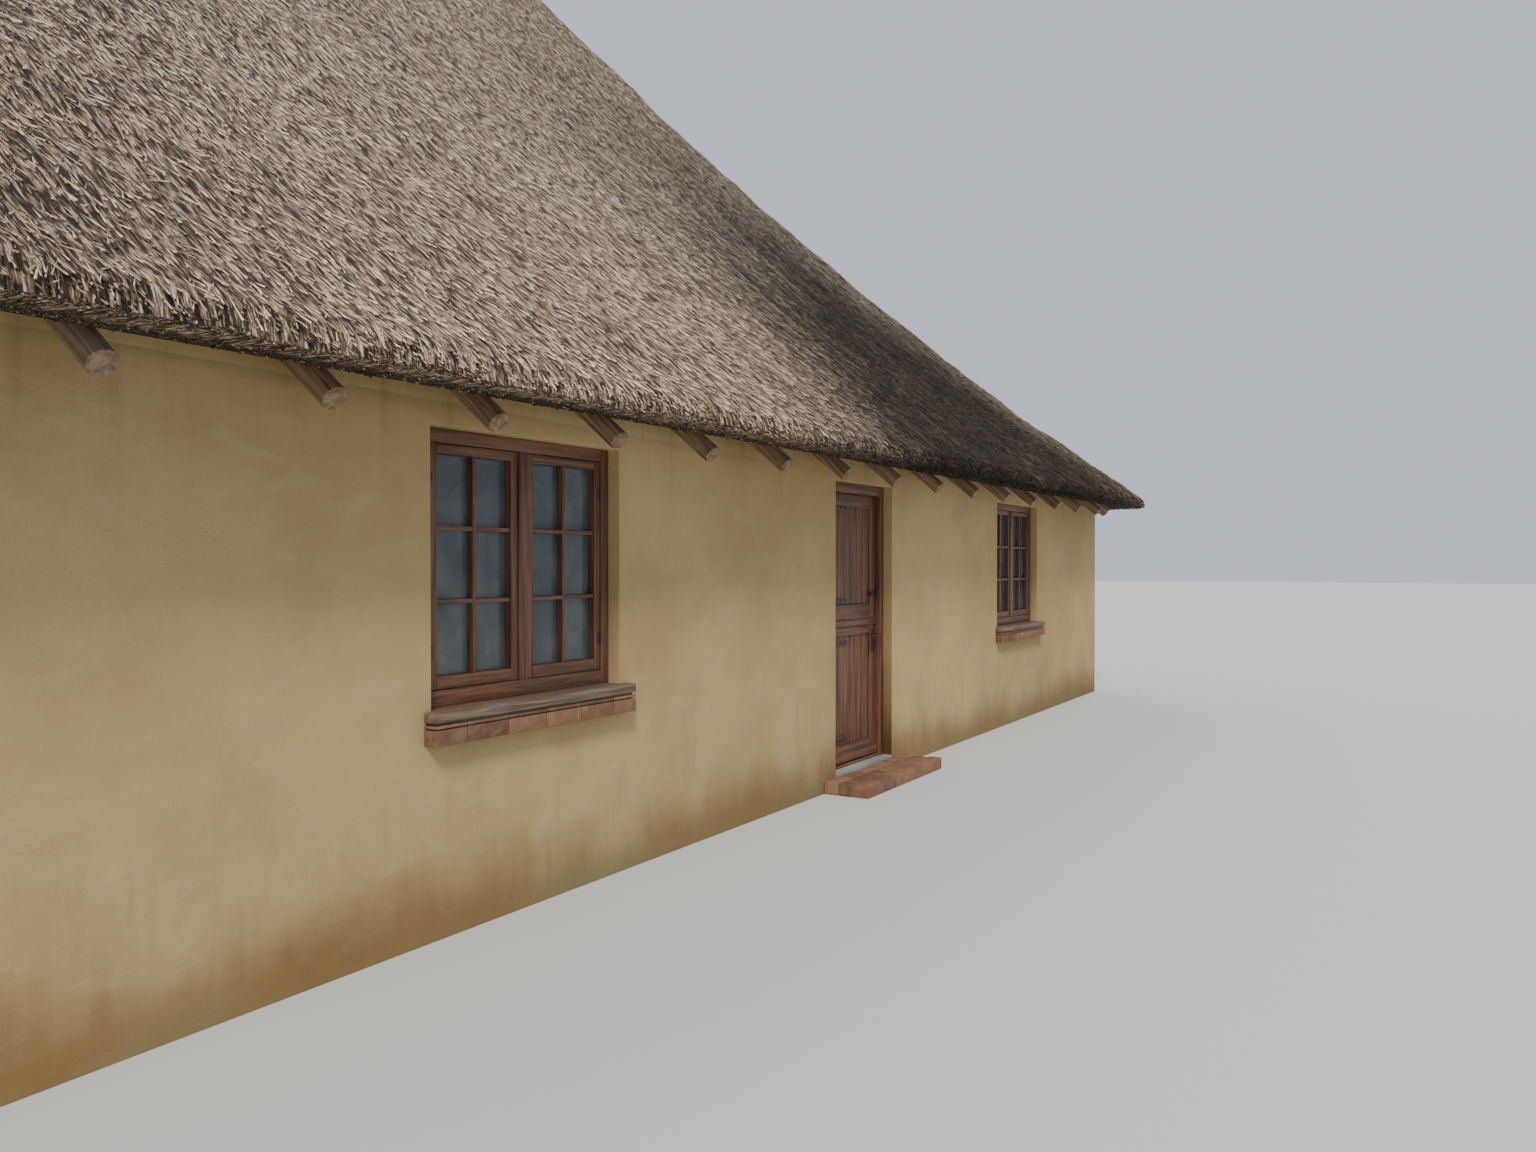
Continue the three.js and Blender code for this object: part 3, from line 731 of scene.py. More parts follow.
def give_grain(piece, direction):
    """Stores the run of the grain, shifted at random, and a tone of the piece's own.

    The run is the distance along the piece, then across it both ways.
    """
    along = Vector(direction).normalized()
    across = along.orthogonal().normalized()
    axes = np.array([along, across, along.cross(across)])
    run = points_of(piece) @ axes.T + draw.uniform(0, 20, 3)
    grain = piece.data.attributes.new("grain_run", "FLOAT_VECTOR", "POINT")
    grain.data.foreach_set("vector", run.ravel())
    give_values(piece, "tone", draw.random())


def mesh_of(name, points, faces):
    mesh = bpy.data.meshes.new(name)
    mesh.from_pydata(points, [], faces)
    return mesh


def put_in_order(piece):
    """Rebuilds a mesh with its points and faces in an order that only their places decide.

    Extruding leaves them in another order each time, and the reeds follow that of the thatch coat.
    """
    old = piece.data
    places = points_of(piece)
    order = np.lexsort(np.round(places, 4).T)
    rank = np.empty(len(order), dtype=int)
    rank[order] = np.arange(len(order))
    faces = []
    for polygon in old.polygons:
        corners = rank[list(polygon.vertices)].tolist()
        first = corners.index(min(corners))
        faces.append(corners[first:] + corners[:first])
    piece.data = mesh_of(piece.name, places[order], sorted(faces))
    bpy.data.meshes.remove(old)
    piece.data.name = piece.name


def longest(low, high):
    sizes = [end - start for start, end in zip(low, high)]
    return [1.0 if size == max(sizes) else 0.0 for size in sizes]


def block(low, high, softness=0.003, segments=2):
    """A squared piece with rounded edges and its grain along its longest side."""
    middle = [(start + end) / 2 for start, end in zip(low, high)]
    size = [end - start for start, end in zip(low, high)]
    piece = started("block", bpy.ops.mesh.primitive_cube_add, size=1, location=middle, scale=size)
    rounded(piece, softness, segments)
    give_grain(piece, longest(low, high))
    return piece


def outline_block(outline, bottom, top, softness):
    """A flat outline extruded upwards, with rounded edges."""
    points = [(x, y, bottom) for x, y in outline]
    piece = linked("outline", mesh_of("outline", points, [list(range(len(points)))]))

    def raise_top():
        push(0, 0, top - bottom)

    edited(piece, raise_top, recalculate)
    put_in_order(piece)
    rounded(piece, softness)
    give_grain(piece, (1, 0, 0))
    return piece


def cylinder(start, end, radius, sides=16, softness=0.0):
    start, end = Vector(start), Vector(end)
    turn = (end - start).to_track_quat("Z", "Y").to_euler()
    piece = started("cylinder", bpy.ops.mesh.primitive_cylinder_add, vertices=sides, radius=radius,
                    depth=(end - start).length, location=(start + end) / 2, rotation=turn)
    if softness:
        rounded(piece, softness)
    give_grain(piece, end - start)
    return piece


def joined_plain(parts):
    """Joins pieces whose faces stay flat."""
    alone(parts[0])
    for part in parts[1:]:
        part.select_set(True)
    if len(parts) > 1:
        bpy.ops.object.join()
    return parts[0]


def joined(name, parts):
    """Joins pieces, and smooths what isn't a sharp edge."""
    piece = joined_plain(parts)
    piece.name = name
    piece.data.name = name
    smooth(piece)
    return piece


def copied(piece, name, x=0.0, y=0.0, degrees=0.0):
    """A copy with its own mesh, turned about the middle and then moved on plan."""
    twin = piece.copy()
    twin.data = piece.data.copy()
    twin.name = name
    twin.data.name = name
    twin.data.transform(Matrix.Translation((x, y, 0)) @ Matrix.Rotation(math.radians(degrees), 4, "Z"))
    bpy.context.scene.collection.objects.link(twin)
    return twin


def removed(piece):
    bpy.data.meshes.remove(piece.data)


def finished(piece, material):
    piece.data.materials.clear()
    piece.data.materials.append(material)


def kept_solid(node, material):
    """Gives a finish to a solid that shows as the model has it."""
    finished(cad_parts[node], material)


def settled(piece, material, slot, *nodes):
    """Gives a piece its finish and its body, and hides the solids that it stands for. The slot is not used.
    """
    finished(piece, material)
    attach(piece, "root")
    if nodes:
        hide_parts(*nodes)


# Roof form on plan.
def rise_at(inset):
    inset = np.clip(inset, 0, RIDGE_INSET)
    return START_SLOPE * inset + SAG * inset**2


def slope_at(inset):
    return START_SLOPE + 2 * SAG * inset


def corner_radius(radii, inset):
    share = np.clip(inset / HALF_WIDTH, 0, 1)
    return np.minimum(radii[0] + (radii[1] - radii[0]) * share, HALF_WIDTH - inset)


def past_corner(x, y, inset, radii):
    """How far plan points lie past the middle of the corner's arc at an inset, and that arc's radius."""
    radius = corner_radius(radii, inset)
    past_x = np.abs(x) - (HALF_LENGTH - inset - radius)
    past_y = np.abs(y) - (HALF_WIDTH - inset - radius)
    return past_x, past_y, (past_x > 0) & (past_y > 0), radius


def inset_over(x, y, radii):
    """The inset of the level line that passes over each plan point, found by halving."""
    low = np.full(np.shape(x), OUTERMOST)
    high = np.full(np.shape(x), HALF_WIDTH)
    for _ in range(SEARCH_STEPS):
        middle = (low + high) / 2
        past_x, past_y, in_corner, radius = past_corner(x, y, middle, radii)
        reach = np.where(in_corner, np.hypot(past_x, past_y), np.maximum(past_x, past_y))
        outside = reach > radius
        high = np.where(outside, middle, high)
        low = np.where(outside, low, middle)
    return low


def fall_line(x, y, radii):
    """The level direction in which the roof falls fastest at each plan point."""
    past_x, past_y, in_corner, _ = past_corner(x, y, inset_over(x, y, radii), radii)
    fall_x = np.where(in_corner, past_x, past_x > past_y) * np.sign(x)
    fall_y = np.where(in_corner, past_y, past_y >= past_x) * np.sign(y)
    size = np.maximum(np.hypot(fall_x, fall_y), 1e-9)
    return np.stack([fall_x / size, fall_y / size, np.zeros(np.shape(x))], axis=-1)


def turned(x, y, degrees):
    angle = math.radians(degrees)
    return x * math.cos(angle) - y * math.sin(angle), x * math.sin(angle) + y * math.cos(angle)


def along_slope(side, x, y):
    """How far plan points lie from the middle of a slope, along it."""
    return turned(x, y, -SIDES[side][0])[0]


def lining_height(x, y):
    """The thatch's underside where it lies on the laths."""
    return LINING_LOW + rise_at(inset_over(x, y, INNER_RADIUS))


def unit(vectors):
    return vectors / np.maximum(np.linalg.norm(vectors, axis=1), 1e-12)[:, None]


def smoothed(values):
    values = np.clip(values, 0, 1)
    return values * values * (3 - 2 * values)


def damp_and_shade_on(side, sideways, inset):
    """How much damp moss and painted shade darken a slope, at a distance from its middle and an inset."""
    along = SIDES[side][1]
    damp = np.zeros(np.shape(sideways))
    run_off = zip(sideways / RUN_OFF[0], inset / RUN_OFF[1])
    streaks = np.array([noise.noise((x, y, RUN_OFF_SEED)) for x, y in run_off])
    thin = np.maximum(1 - DAMP_SHADE_THINNING * np.maximum(inset - DAMP_SHADE_THIN_FROM, 0) ** 2, 0)
    for toward, (reach, less, fade, strength) in zip((-1, 1), DAMP_SHADE_ZONES[side]):
        gap = np.maximum(along - inset - toward * sideways, 0)
        # Less of it near the hip itself: drier reed, and painted light where the rounded hip turns to the
        # light.
        drier_lit_hip = 1 - HIP_DRY_AND_LIT * (1 - smoothed(gap / HIP_DRY_AND_LIT_WIDTH))
        width = fade * (1 + DAMP_SHADE_SPREAD * inset)
        depth = (reach - less * inset - gap) / width + 0.5 + RUN_OFF_SHARE * streaks
        zone = smoothed(depth) * strength * thin * drier_lit_hip
        damp = np.maximum(damp, zone)
    return damp


# Thatch: a coat for each slope, then the reeds on it.
def cloud(name, size, depth=2):
    texture = bpy.data.textures.new(name, "CLOUDS")
    texture.noise_scale = size
    texture.noise_depth = depth
    return texture


WAVES = cloud("waves", 1.3)
LUMPS = cloud("lumps", 0.30, depth=3)
STREAKS = cloud("streaks", 0.085)
BARK = cloud("bark", 0.16, depth=1)
CRUST = cloud("crust", 0.22, depth=3)


def slope_sheet(side):
    """The slope on plan, trimmed to its hips; bands extruded under it stand for the eave's profile."""
    _, along, across = SIDES[side]
    pitch = STYLES[side]["pitch"]
    corner_trim = OUTER_RADIUS[0] * (1 - math.sqrt(0.5))
    half = along - corner_trim
    reach = RIDGE_INSET if along > across else HALF_WIDTH
    columns = round(2 * half / pitch[0])
    rows = round(reach / pitch[1])
    coat = started(f"{side}_thatch_coat", bpy.ops.mesh.primitive_grid_add, x_subdivisions=columns,
                   y_subdivisions=rows, size=1, location=(0, -across + reach / 2, 0))
    places = points_of(coat)
    places[:, 0] *= 2 * half
    places[:, 1] = (places[:, 1] + across - reach / 2) * reach + reach / 2 - across
    move_points(coat, places)

    def trim():
        for way in (1, -1):
            bpy.ops.mesh.select_all(action="SELECT")
            bpy.ops.mesh.bisect(plane_co=(way * (along - across), 0, 0), plane_no=(way, 1, 0),
                                use_fill=False, clear_outer=True)

    def deepen():
        bpy.ops.mesh.select_all(action="SELECT")
        for _ in EAVE_PROFILE[1:]:
            push(0, 0, -1)

    edited(coat, trim, deepen, recalculate)
    put_in_order(coat)
    return coat


def slope_length(inset):
    """Distance up the slope from the eave to an inset."""
    steps = np.linspace(0, HALF_WIDTH, num=200)
    lengths = np.cumsum(np.hypot(1, slope_at(steps))) * (steps[1] - steps[0])
    return np.interp(inset, steps, lengths)


def shape_slope(coat, side):
    """Lays a trimmed sheet over the roof form, and stores where each point is on the slope."""
    turn, along, across = SIDES[side]
    places = points_of(coat)
    sideways, inward = places[:, 0].copy(), places[:, 1] + across
    band = np.round(-places[:, 2]).astype(int)
    below = band == len(EAVE_PROFILE) - 1
    setback, drop = np.array(EAVE_PROFILE)[band].T
    drop = np.where(below, 0, drop)
    near = np.clip(1 - inward / EAVE_EASE, 0, 1)
    past = np.clip(np.abs(sideways) - (along - OUTER_RADIUS[0]), 0, OUTER_RADIUS[0])
    edge = OUTER_RADIUS[0] - np.sqrt(OUTER_RADIUS[0] ** 2 - past**2)
    hip = np.maximum(along - np.abs(sideways), 1e-6)
    inward = hip + (inward - hip) * (hip - edge) / hip
    meeting = np.where(below, np.clip((hip - inward) / HIP_MEETING, 0, 1), 1)
    inward = inward + setback * near * meeting
    x, y = turned(sideways, inward - across, turn)
    inset = np.maximum(inset_over(x, y, OUTER_RADIUS), 0)
    top = EAVE_LOW + EAVE_LIP + rise_at(inset) - drop * near
    underside = np.maximum(lining_height(x, y), EAVE_LOW)
    move_points(coat, np.stack([x, y, np.where(below, underside, top)], axis=1))
    gap = np.maximum(along - inward - np.abs(sideways), 0)
    facts = {
        "foot_gap": inset,
        "hip_gap": gap,
        "damp": damp_and_shade_on(side, sideways, inset),
        "tone": STYLES[side]["coat_tone"],
        "under": below & (inset > UNDER_INSET),
    }
    for name, values in facts.items():
        give_values(coat, name, values)
    run = slope_length(inward)
    give_runs(coat, sideways, np.where(below, -THATCH_DROP - run, run - drop))
    soft = np.where(below, 0, np.clip((CAP_INSET - CAP_LAP - inset) / CAP_FADE, 0, 1))
    give_group(coat, "loose", soft)
    give_group(coat, "streaky", soft * np.clip(gap / HIP_FADE, 0, 1))


def give_runs(coat, along, up):
    """Two UV maps of the way along and up the slope, one of them drawn out upwards for the streaks."""
    corners = np.empty(len(coat.data.loops), dtype=np.int32)
    coat.data.loops.foreach_get("vertex_index", corners)
    for layer, stretch in (("slope_run", 1.0), ("streak_run", STREAK_STRETCH)):
        uv = np.stack([along, up / stretch], axis=1)[corners]
        coat.data.uv_layers.new(name=layer).data.foreach_set("uv", uv.ravel())


def give_group(coat, name, weights):
    """A vertex group whose weights are rounded to a few levels."""
    group = coat.vertex_groups.new(name=name)
    levels = np.round(weights * FADE_STEPS)
    for level in range(1, FADE_STEPS + 1):
        group.add(np.nonzero(levels == level)[0].tolist(), level / FADE_STEPS, "REPLACE")


def weather_coat(coat):
    """Lets the surface wander and lump, alike on both sides of a hip, and streak down the slope."""
    for texture, height in ((WAVES, WAVE_HEIGHT), (LUMPS, LUMP_HEIGHT)):
        applied(coat, "DISPLACE", texture=texture, texture_coords="LOCAL", strength=height,
                vertex_group="loose", mid_level=SURFACE_LEVEL, direction="Z")
    applied(coat, "DISPLACE", texture=STREAKS, texture_coords="UV", uv_layer="streak_run",
            strength=STREAK_HEIGHT, vertex_group="streaky", mid_level=0.5, direction="NORMAL")

    def close_slivers():
        bpy.ops.mesh.dissolve_degenerate(threshold=0.0005)

    edited(coat, close_slivers)
    coat.vertex_groups.clear()
    coat.data.uv_layers.remove(coat.data.uv_layers["streak_run"])


def triangles_of(piece):
    piece.data.calc_loop_triangles()
    corners = np.empty(len(piece.data.loop_triangles) * 3, dtype=np.int32)
    piece.data.loop_triangles.foreach_get("vertices", corners)
    return corners.reshape(-1, 3)


def values_of(piece, name):
    values = np.empty(len(piece.data.vertices))
    piece.data.attributes[name].data.foreach_get("value", values)
    return values


def reed_shape():
    """One reed as a slim cone: butt at -0.5, point at +0.5 along z, radius 1."""
    reed = started("reed", bpy.ops.mesh.primitive_cone_add, vertices=3, radius1=1, depth=1)
    shape = points_of(reed)
    faces = triangles_of(reed)
    removed(reed)
    return shape, faces


REED_POINTS, REED_FACES = reed_shape()


def sides_of(corners, places):
    """Of each triangle its first corner, the sides that leave it, and their cross product."""
    first, second, third = (places[corners[:, k]] for k in range(3))
    return first, second - first, third - first, np.cross(second - first, third - first)


def scattered(corners, places, per_area):
    """Random points on triangles: the triangle of each, its place and its normal."""
    corner, left, right, cross = sides_of(corners, places)
    area = np.linalg.norm(cross, axis=1) / 2
    count = int(area.sum() * per_area)
    chosen = draw.choice(len(corners), size=count, p=area / area.sum())
    u, v = draw.random((2, count, 1))
    fold = u + v > 1
    u, v = np.where(fold, 1 - u, u), np.where(fold, 1 - v, v)
    spots = corner[chosen] + u * left[chosen] + v * right[chosen]
    normals = cross[chosen] / (2 * area[chosen][:, None])
    return chosen, spots, normals


def tuft_tone(side, along, up):
    """The tone of a reed, shared with its neighbours in a tuft, from 0 for dark to 1 for bleached."""
    tufts = np.array([noise.noise((x / TUFT[0], y / TUFT[1], 0.0)) for x, y in zip(along, up)])
    own = draw.normal(0, STYLES[side]["reed_contrast"], len(tufts))
    return np.clip(MIDDLE_TONE + STYLES[side]["tuft_contrast"] * tufts + own, 0, 1)


def reed_bundle(name, spots, normals, falls, facts, scale, length, reach):
    """Reeds lying down the slope, point up: the bleached ones proud, the dark ones sunk."""
    count = len(spots)
    down = unit(falls - normals * np.sum(falls * normals, axis=1)[:, None])
    across = np.cross(normals, down)
    yaw = draw.normal(0, REED_YAW, count)[:, None]
    strays = draw.random(count)[:, None] < STRAY_SHARE
    yaw = np.where(strays, yaw * STRAY_YAW, yaw)
    down, across = (down * np.cos(yaw) + across * np.sin(yaw), across * np.cos(yaw) - down * np.sin(yaw))
    tone = facts["tone"][:, None, None]
    width = draw.uniform(*REED_WIDTH, count)[:, None, None] * scale
    long = draw.uniform(*length, count)[:, None, None] * scale
    roll = draw.uniform(0, 2 * math.pi, count)[:, None]
    px, py, pz = REED_POINTS.T
    turned_x = (px * np.cos(roll) - py * np.sin(roll))[:, :, None] * width
    turned_y = (px * np.sin(roll) + py * np.cos(roll))[:, :, None] * width
    butt = (0.5 - pz)[None, :, None]
    places = (
        spots[:, None, :]
        + across[:, None, :] * turned_x
        + normals[:, None, :] * (turned_y * REED_FLATNESS + REED_PROUD * (tone - 0.5) + REED_TILT * butt
                                 - REED_SINK * (1 - butt))
        + down[:, None, :] * ((butt - 1 + reach) * long)
    )
    size = len(REED_POINTS)
    faces = (REED_FACES[None] + size * np.arange(count)[:, None, None]).reshape(-1, 3)
    bundle = linked(name, mesh_of(name, places.reshape(-1, 3), faces))
    for key, values in facts.items():
        give_values(bundle, key, np.repeat(values, size))
    return bundle


def reed_facts(side, spots, inset, tone):
    """What the reeds' finish reads: how far in they lie, how much damp moss and painted shade they carry, and
    their tone.
    """
    damp = damp_and_shade_on(side, along_slope(side, spots[:, 0], spots[:, 1]), inset)
    return {"foot_gap": inset, "damp": damp, "under": np.zeros(len(spots)), "tone": tone}


def reeds_over(name, coat, side, chosen, per_area, reach=REED_REACH):
    """Reeds on the chosen triangles of a coat. Those of the eave hang from it, and reach less far."""
    corners = triangles_of(coat)[chosen]
    inset = values_of(coat, "foot_gap")[corners].mean(axis=1)
    picked, spots, normals = scattered(corners, points_of(coat), per_area)
    falls = fall_line(spots[:, 0], spots[:, 1], OUTER_RADIUS)
    up = slope_length(inset[picked]) + spots[:, 2] * TUFT_DROP
    tone = tuft_tone(side, along_slope(side, spots[:, 0], spots[:, 1]), up)
    length = REED_LENGTH
    if reach < REED_REACH:
        falls = unit(falls + np.array([0, 0, -START_SLOPE]))
        normals = unit(np.cross(np.cross(falls, [0, 0, 1.0]), falls))
        tone = EAVE_TONE[0] + EAVE_TONE[1] * tone
        length = EAVE_REED_LENGTH
    facts = reed_facts(side, spots, inset[picked], tone)
    return reed_bundle(name, spots, normals, falls, facts, STYLES[side]["scale"], length, reach)


def reeds_on(side, coat):
    """Pieces of reed over a coat: the lower half with the eave and its level cut, and the upper half."""
    corners = triangles_of(coat)
    facing = unit(sides_of(corners, points_of(coat))[3])[:, 2]
    inset = values_of(coat, "foot_gap")[corners].mean(axis=1)
    inside_hip = values_of(coat, "hip_gap")[corners].max(axis=1) > SEAM
    top = (facing > TOP_FACING) & (inset < CAP_INSET)
    eave = (facing < EDGE_FACING) & (inset < EDGE_WIDTH) & inside_hip
    cut = (facing < CUT_FACING) & (inset > CUT_STRIP[0]) & (inset < CUT_STRIP[1])
    split, per_area = STYLES[side]["split"], STYLES[side]["reeds"]
    low = reeds_over(f"{side}_thatch_reeds", coat, side, top & (inset < split), per_area)
    edge = reeds_over(f"{side}_eave_reeds", coat, side, eave & ~cut, EAVE_REEDS, EAVE_REACH)
    ends = reeds_over(f"{side}_cut_reeds", coat, side, cut, CUT_REEDS, CUT_REACH)
    pieces = [joined_plain([low, edge, ends])]
    if split < CAP_INSET:
        pieces.append(reeds_over(f"{side}_upper_reeds", coat, side, top & (inset >= split), per_area))
    return pieces


def corner_reeds(side_x, side_y):
    """Reeds laid round the eave's corner, over the seam of two slopes."""
    angle = math.pi / 4 + draw.uniform(-CORNER_SPREAD, CORNER_SPREAD, CORNER_REEDS)
    height = draw.uniform(*CORNER_HEIGHTS, CORNER_REEDS)
    radius = OUTER_RADIUS[0] - np.interp(height * EAVE_LIP, *CORNER_PROFILE)
    outward = np.stack([side_x * np.cos(angle), side_y * np.sin(angle), np.zeros(CORNER_REEDS)], axis=1)
    spots = outward * radius[:, None]
    spots += (side_x * (HALF_LENGTH - OUTER_RADIUS[0]), side_y * (HALF_WIDTH - OUTER_RADIUS[0]), 0)
    spots[:, 2] = EAVE_LOW + height * EAVE_LIP
    falls = unit(outward - np.array([0, 0, CORNER_FALL]))
    normals = unit(outward - falls * np.sum(outward * falls, axis=1)[:, None])
    tone = EAVE_TONE[0] + EAVE_TONE[1] * draw.random(CORNER_REEDS)
    facts = reed_facts("front" if side_y < 0 else "back", spots, OUTER_RADIUS[0] - radius, tone)
    return reed_bundle("corner_reeds", spots, normals, falls, facts, 1.0, EAVE_REED_LENGTH, EAVE_REACH)


def add_thatch():
    for side in SIDES:
        coat = slope_sheet(side)
        shape_slope(coat, side)
        weather_coat(coat)
        smooth(coat, degrees=35)
        for reeds in reeds_on(side, coat):
            settled(reeds, REEDS, "thatch", f"{side}_thatch")
        settled(coat, THATCH, "thatch", f"{side}_thatch")
    corners = [corner_reeds(x, y) for x in (-1, 1) for y in (-1, 1)]
    settled(joined_plain(corners), REEDS, "thatch")


# Roof poles and laths.
def pole(path, radius):
    """A disc extruded from point to point of its path, then made a little uneven."""
    way = Vector(path[1]) - Vector(path[0])
    piece = started("pole", bpy.ops.mesh.primitive_circle_add, vertices=POLE_SIDES, radius=radius,
                    fill_type="NGON", location=path[0], rotation=way.to_track_quat("Z", "Y").to_euler())

    def extrude_along():
        for here, there in zip(path, path[1:]):
            push(*(Vector(there) - Vector(here)))

    edited(piece, extrude_along, recalculate)
    put_in_order(piece)
    applied(piece, "DISPLACE", texture=BARK, texture_coords="LOCAL", strength=radius * BARK_SHARE,
            mid_level=SURFACE_LEVEL)
    rounded(piece, radius * POLE_EDGE_SHARE)
    give_grain(piece, Vector(path[-1]) - Vector(path[0]))
    return piece


def pole_path(start, step, end_inset, tail, radius, share):
    """Points under the thatch from the tail inwards: start is the eave point, step one metre of inset."""
    count = max(2, math.ceil((end_inset - tail) / POLE_REACH))
    path = []
    for k in range(count + 1):
        inset = tail + (end_inset - tail) * k / count
        x, y = start[0] + step[0] * inset, start[1] + step[1] * inset
        level = float(inset_over(np.array([x]), np.array([y]), INNER_RADIUS)[0])
        drop = (POLE_DEPTH + radius) * math.hypot(1, slope_at(level) * share)
        path.append((x, y, LINING_LOW + float(rise_at(level)) - drop))
    return path


def rafter_path(x, along, across):
    """A rafter's path at x on a slope facing -Y, with the bends of the slope that it belongs to."""
    end = min(HALF_WIDTH, along - abs(x)) - POLE_END_GAP
    if across == HALF_WIDTH:
        return pole_path((x, -across), (0, 1), end, RAFTER_TAIL, RAFTER_RADIUS, 1.0)
    path = pole_path((across, x), (-1, 0), end, RAFTER_TAIL, RAFTER_RADIUS, 1.0)
    return [(y, -x, z) for x, y, z in path]


def hip_path(side_y):
    start = (HALF_LENGTH, side_y * HALF_WIDTH)
    end = HALF_WIDTH - POLE_END_GAP
    return pole_path(start, (-1, -side_y), end, HIP_TAIL, HIP_RADIUS, math.sqrt(0.5))


def spaced(count):
    return [(k - (count - 1) / 2) * RAFTER_SPACING for k in range(count)]


def lath_height(inset):
    """The middle of a lath that lies against the thatch's underside."""
    return LINING_LOW + float(rise_at(inset)) - (LATH_RADIUS + LATH_BED) * math.hypot(1, slope_at(inset))


def slope_laths(along, across):
    """Round laths laid across the rafters, against the thatch."""
    laths = []
    inset = LATH_START
    while inset < RIDGE_INSET - LATH_TOP_GAP:
        half = along - inset - INNER_RADIUS[0] - LATH_STOP
        if half < SHORTEST_LATH:
            break
        y, z = inset - across, lath_height(inset)
        laths.append(cylinder((-half, y, z), (half, y, z), LATH_RADIUS, sides=10))
        inset += LATH_SPACING
    return laths


def lath_ties(along, across, count):
    """Twine wound three times round the outer lath where it crosses a rafter."""
    pitch = 0.008
    beside_rafter = 0.035
    end_gap = 0.5
    drop = (LATH_RADIUS + 2 * LATH_BED) * math.hypot(1, START_SLOPE)
    z = LINING_LOW + float(rise_at(LATH_START)) - drop
    ties = []
    for x in spaced(count):
        if abs(x) > along - LATH_START - end_gap:
            continue
        for shift in (-pitch, 0.0, pitch):
            place = (x + beside_rafter + shift, LATH_START - across, z)
            tie = started("tie", bpy.ops.mesh.primitive_torus_add, major_segments=12, minor_segments=5,
                          major_radius=LATH_RADIUS + 0.001, minor_radius=0.0035,
                          location=place, rotation=(0, math.pi / 2, 0))
            ties.append(tie)
    return ties


def add_roof_poles():
    """Poles, laths and ties of every slope, where opposite slopes have the same."""
    pairs = (
        ("front", "back", HALF_LENGTH, HALF_WIDTH, FRONT_RAFTERS),
        ("right", "left", HALF_WIDTH, HALF_LENGTH, END_RAFTERS),
    )
    for one, other, along, across, count in pairs:
        poles = joined("poles", [pole(rafter_path(x, along, across), RAFTER_RADIUS) for x in spaced(count)])
        laths = joined("laths", slope_laths(along, across))
        ties = joined("ties", lath_ties(along, across, count))
        for side in (one, other):
            turn = SIDES[side][0]
            node = f"{side}_rafters"
            settled(copied(poles, f"{side}_poles", degrees=turn), POLES, "roof_poles", node)
            settled(copied(laths, f"{side}_lath_poles", degrees=turn), POLES, "roof_poles", node)
            settled(copied(ties, f"{side}_lath_ties", degrees=turn), TWINE, "roof_poles")
        for piece in (poles, laths, ties):
            removed(piece)
    hips = joined("hips", [pole(hip_path(side_y), HIP_RADIUS) for side_y in (-1, 1)])
    settled(copied(hips, "right_hip_poles"), POLES, "roof_poles", "right_rafters")
    settled(copied(hips, "left_hip_poles", degrees=180), POLES, "roof_poles", "left_rafters")
    removed(hips)


# Walls and the ridge: softened copies of the solids.
def any_place(middle):
    return True


def softened(node, name, width, test=any_place):
    """A merged copy of a solid, with those of its sharp edges rounded whose middle passes the test."""
    piece = linked(name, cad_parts[node].data.copy())

    def clean():
        bpy.ops.mesh.dissolve_limited(angle_limit=FLAT_ANGLE)

    def soften():
        pick_edges(test)
        bpy.ops.mesh.bevel(offset=width, segments=3, affect="EDGES")

    edited(piece, merge, clean, recalculate, soften)
    smooth(piece, degrees=50)
    return piece


def shows_on_wall(middle):
    """Whether a wall's edge is seen as a corner, unlike its foot, its top and its butted ends."""
    at_butt = abs(middle.x) > WALL_X - WALL_THICKNESS - NEAR and abs(abs(middle.y) - BUTT_Y) < NEAR
    return NEAR < middle.z < WALL_TOP - NEAR and not at_butt


def plastered_wall(side):
    """A wall with soft corners; the end walls are lengthened by the seam at their butted ends."""
    wall = softened(f"{side}_wall", f"{side}_plastered_wall", PLASTER_EDGE, shows_on_wall)
    if side in ("left", "right"):
        places = points_of(wall)
        ends = np.abs(places[:, 1]) > BUTT_Y - SEAM
        places[ends, 1] = np.sign(places[ends, 1]) * BUTT_Y
        move_points(wall, places)
    return wall


def corner_packing(side_x, side_y):
    """Masonry packed round the foot of a hip pole, from the wall top up into the thatch."""
    height = 1.0
    middle = (side_x * (WALL_X - WALL_THICKNESS / 2), side_y * (WALL_Y - WALL_THICKNESS / 2),
              WALL_TOP + height / 2)
    packing = started("packing", bpy.ops.mesh.primitive_cube_add, size=1, location=middle,
                      scale=(WALL_THICKNESS, WALL_THICKNESS, height))

    def divide():
        bpy.ops.mesh.subdivide(number_cuts=PACKING_CUTS)

    edited(packing, divide)
    places = points_of(packing)
    share = (places[:, 2] - WALL_TOP) / height
    top = lining_height(places[:, 0], places[:, 1]) + PACKING_LAP
    places[:, 2] = WALL_TOP + share * (top - WALL_TOP)
    move_points(packing, places)
    return packing


def add_walls():
    for side in SIDES:
        settled(plastered_wall(side), PLASTER, "plaster", f"{side}_wall")
        kept_solid(f"{side}_eave_fill", PLASTER)
        kept_solid(f"{side}_wall_plate", PLATE_WOOD["X" if side in ("front", "back") else "Y"])


def add_corner_packing():
    packings = [corner_packing(x, y) for x in (-1, 1) for y in (-1, 1)]
    settled(joined("corner_packings", packings), PLASTER, "plaster")


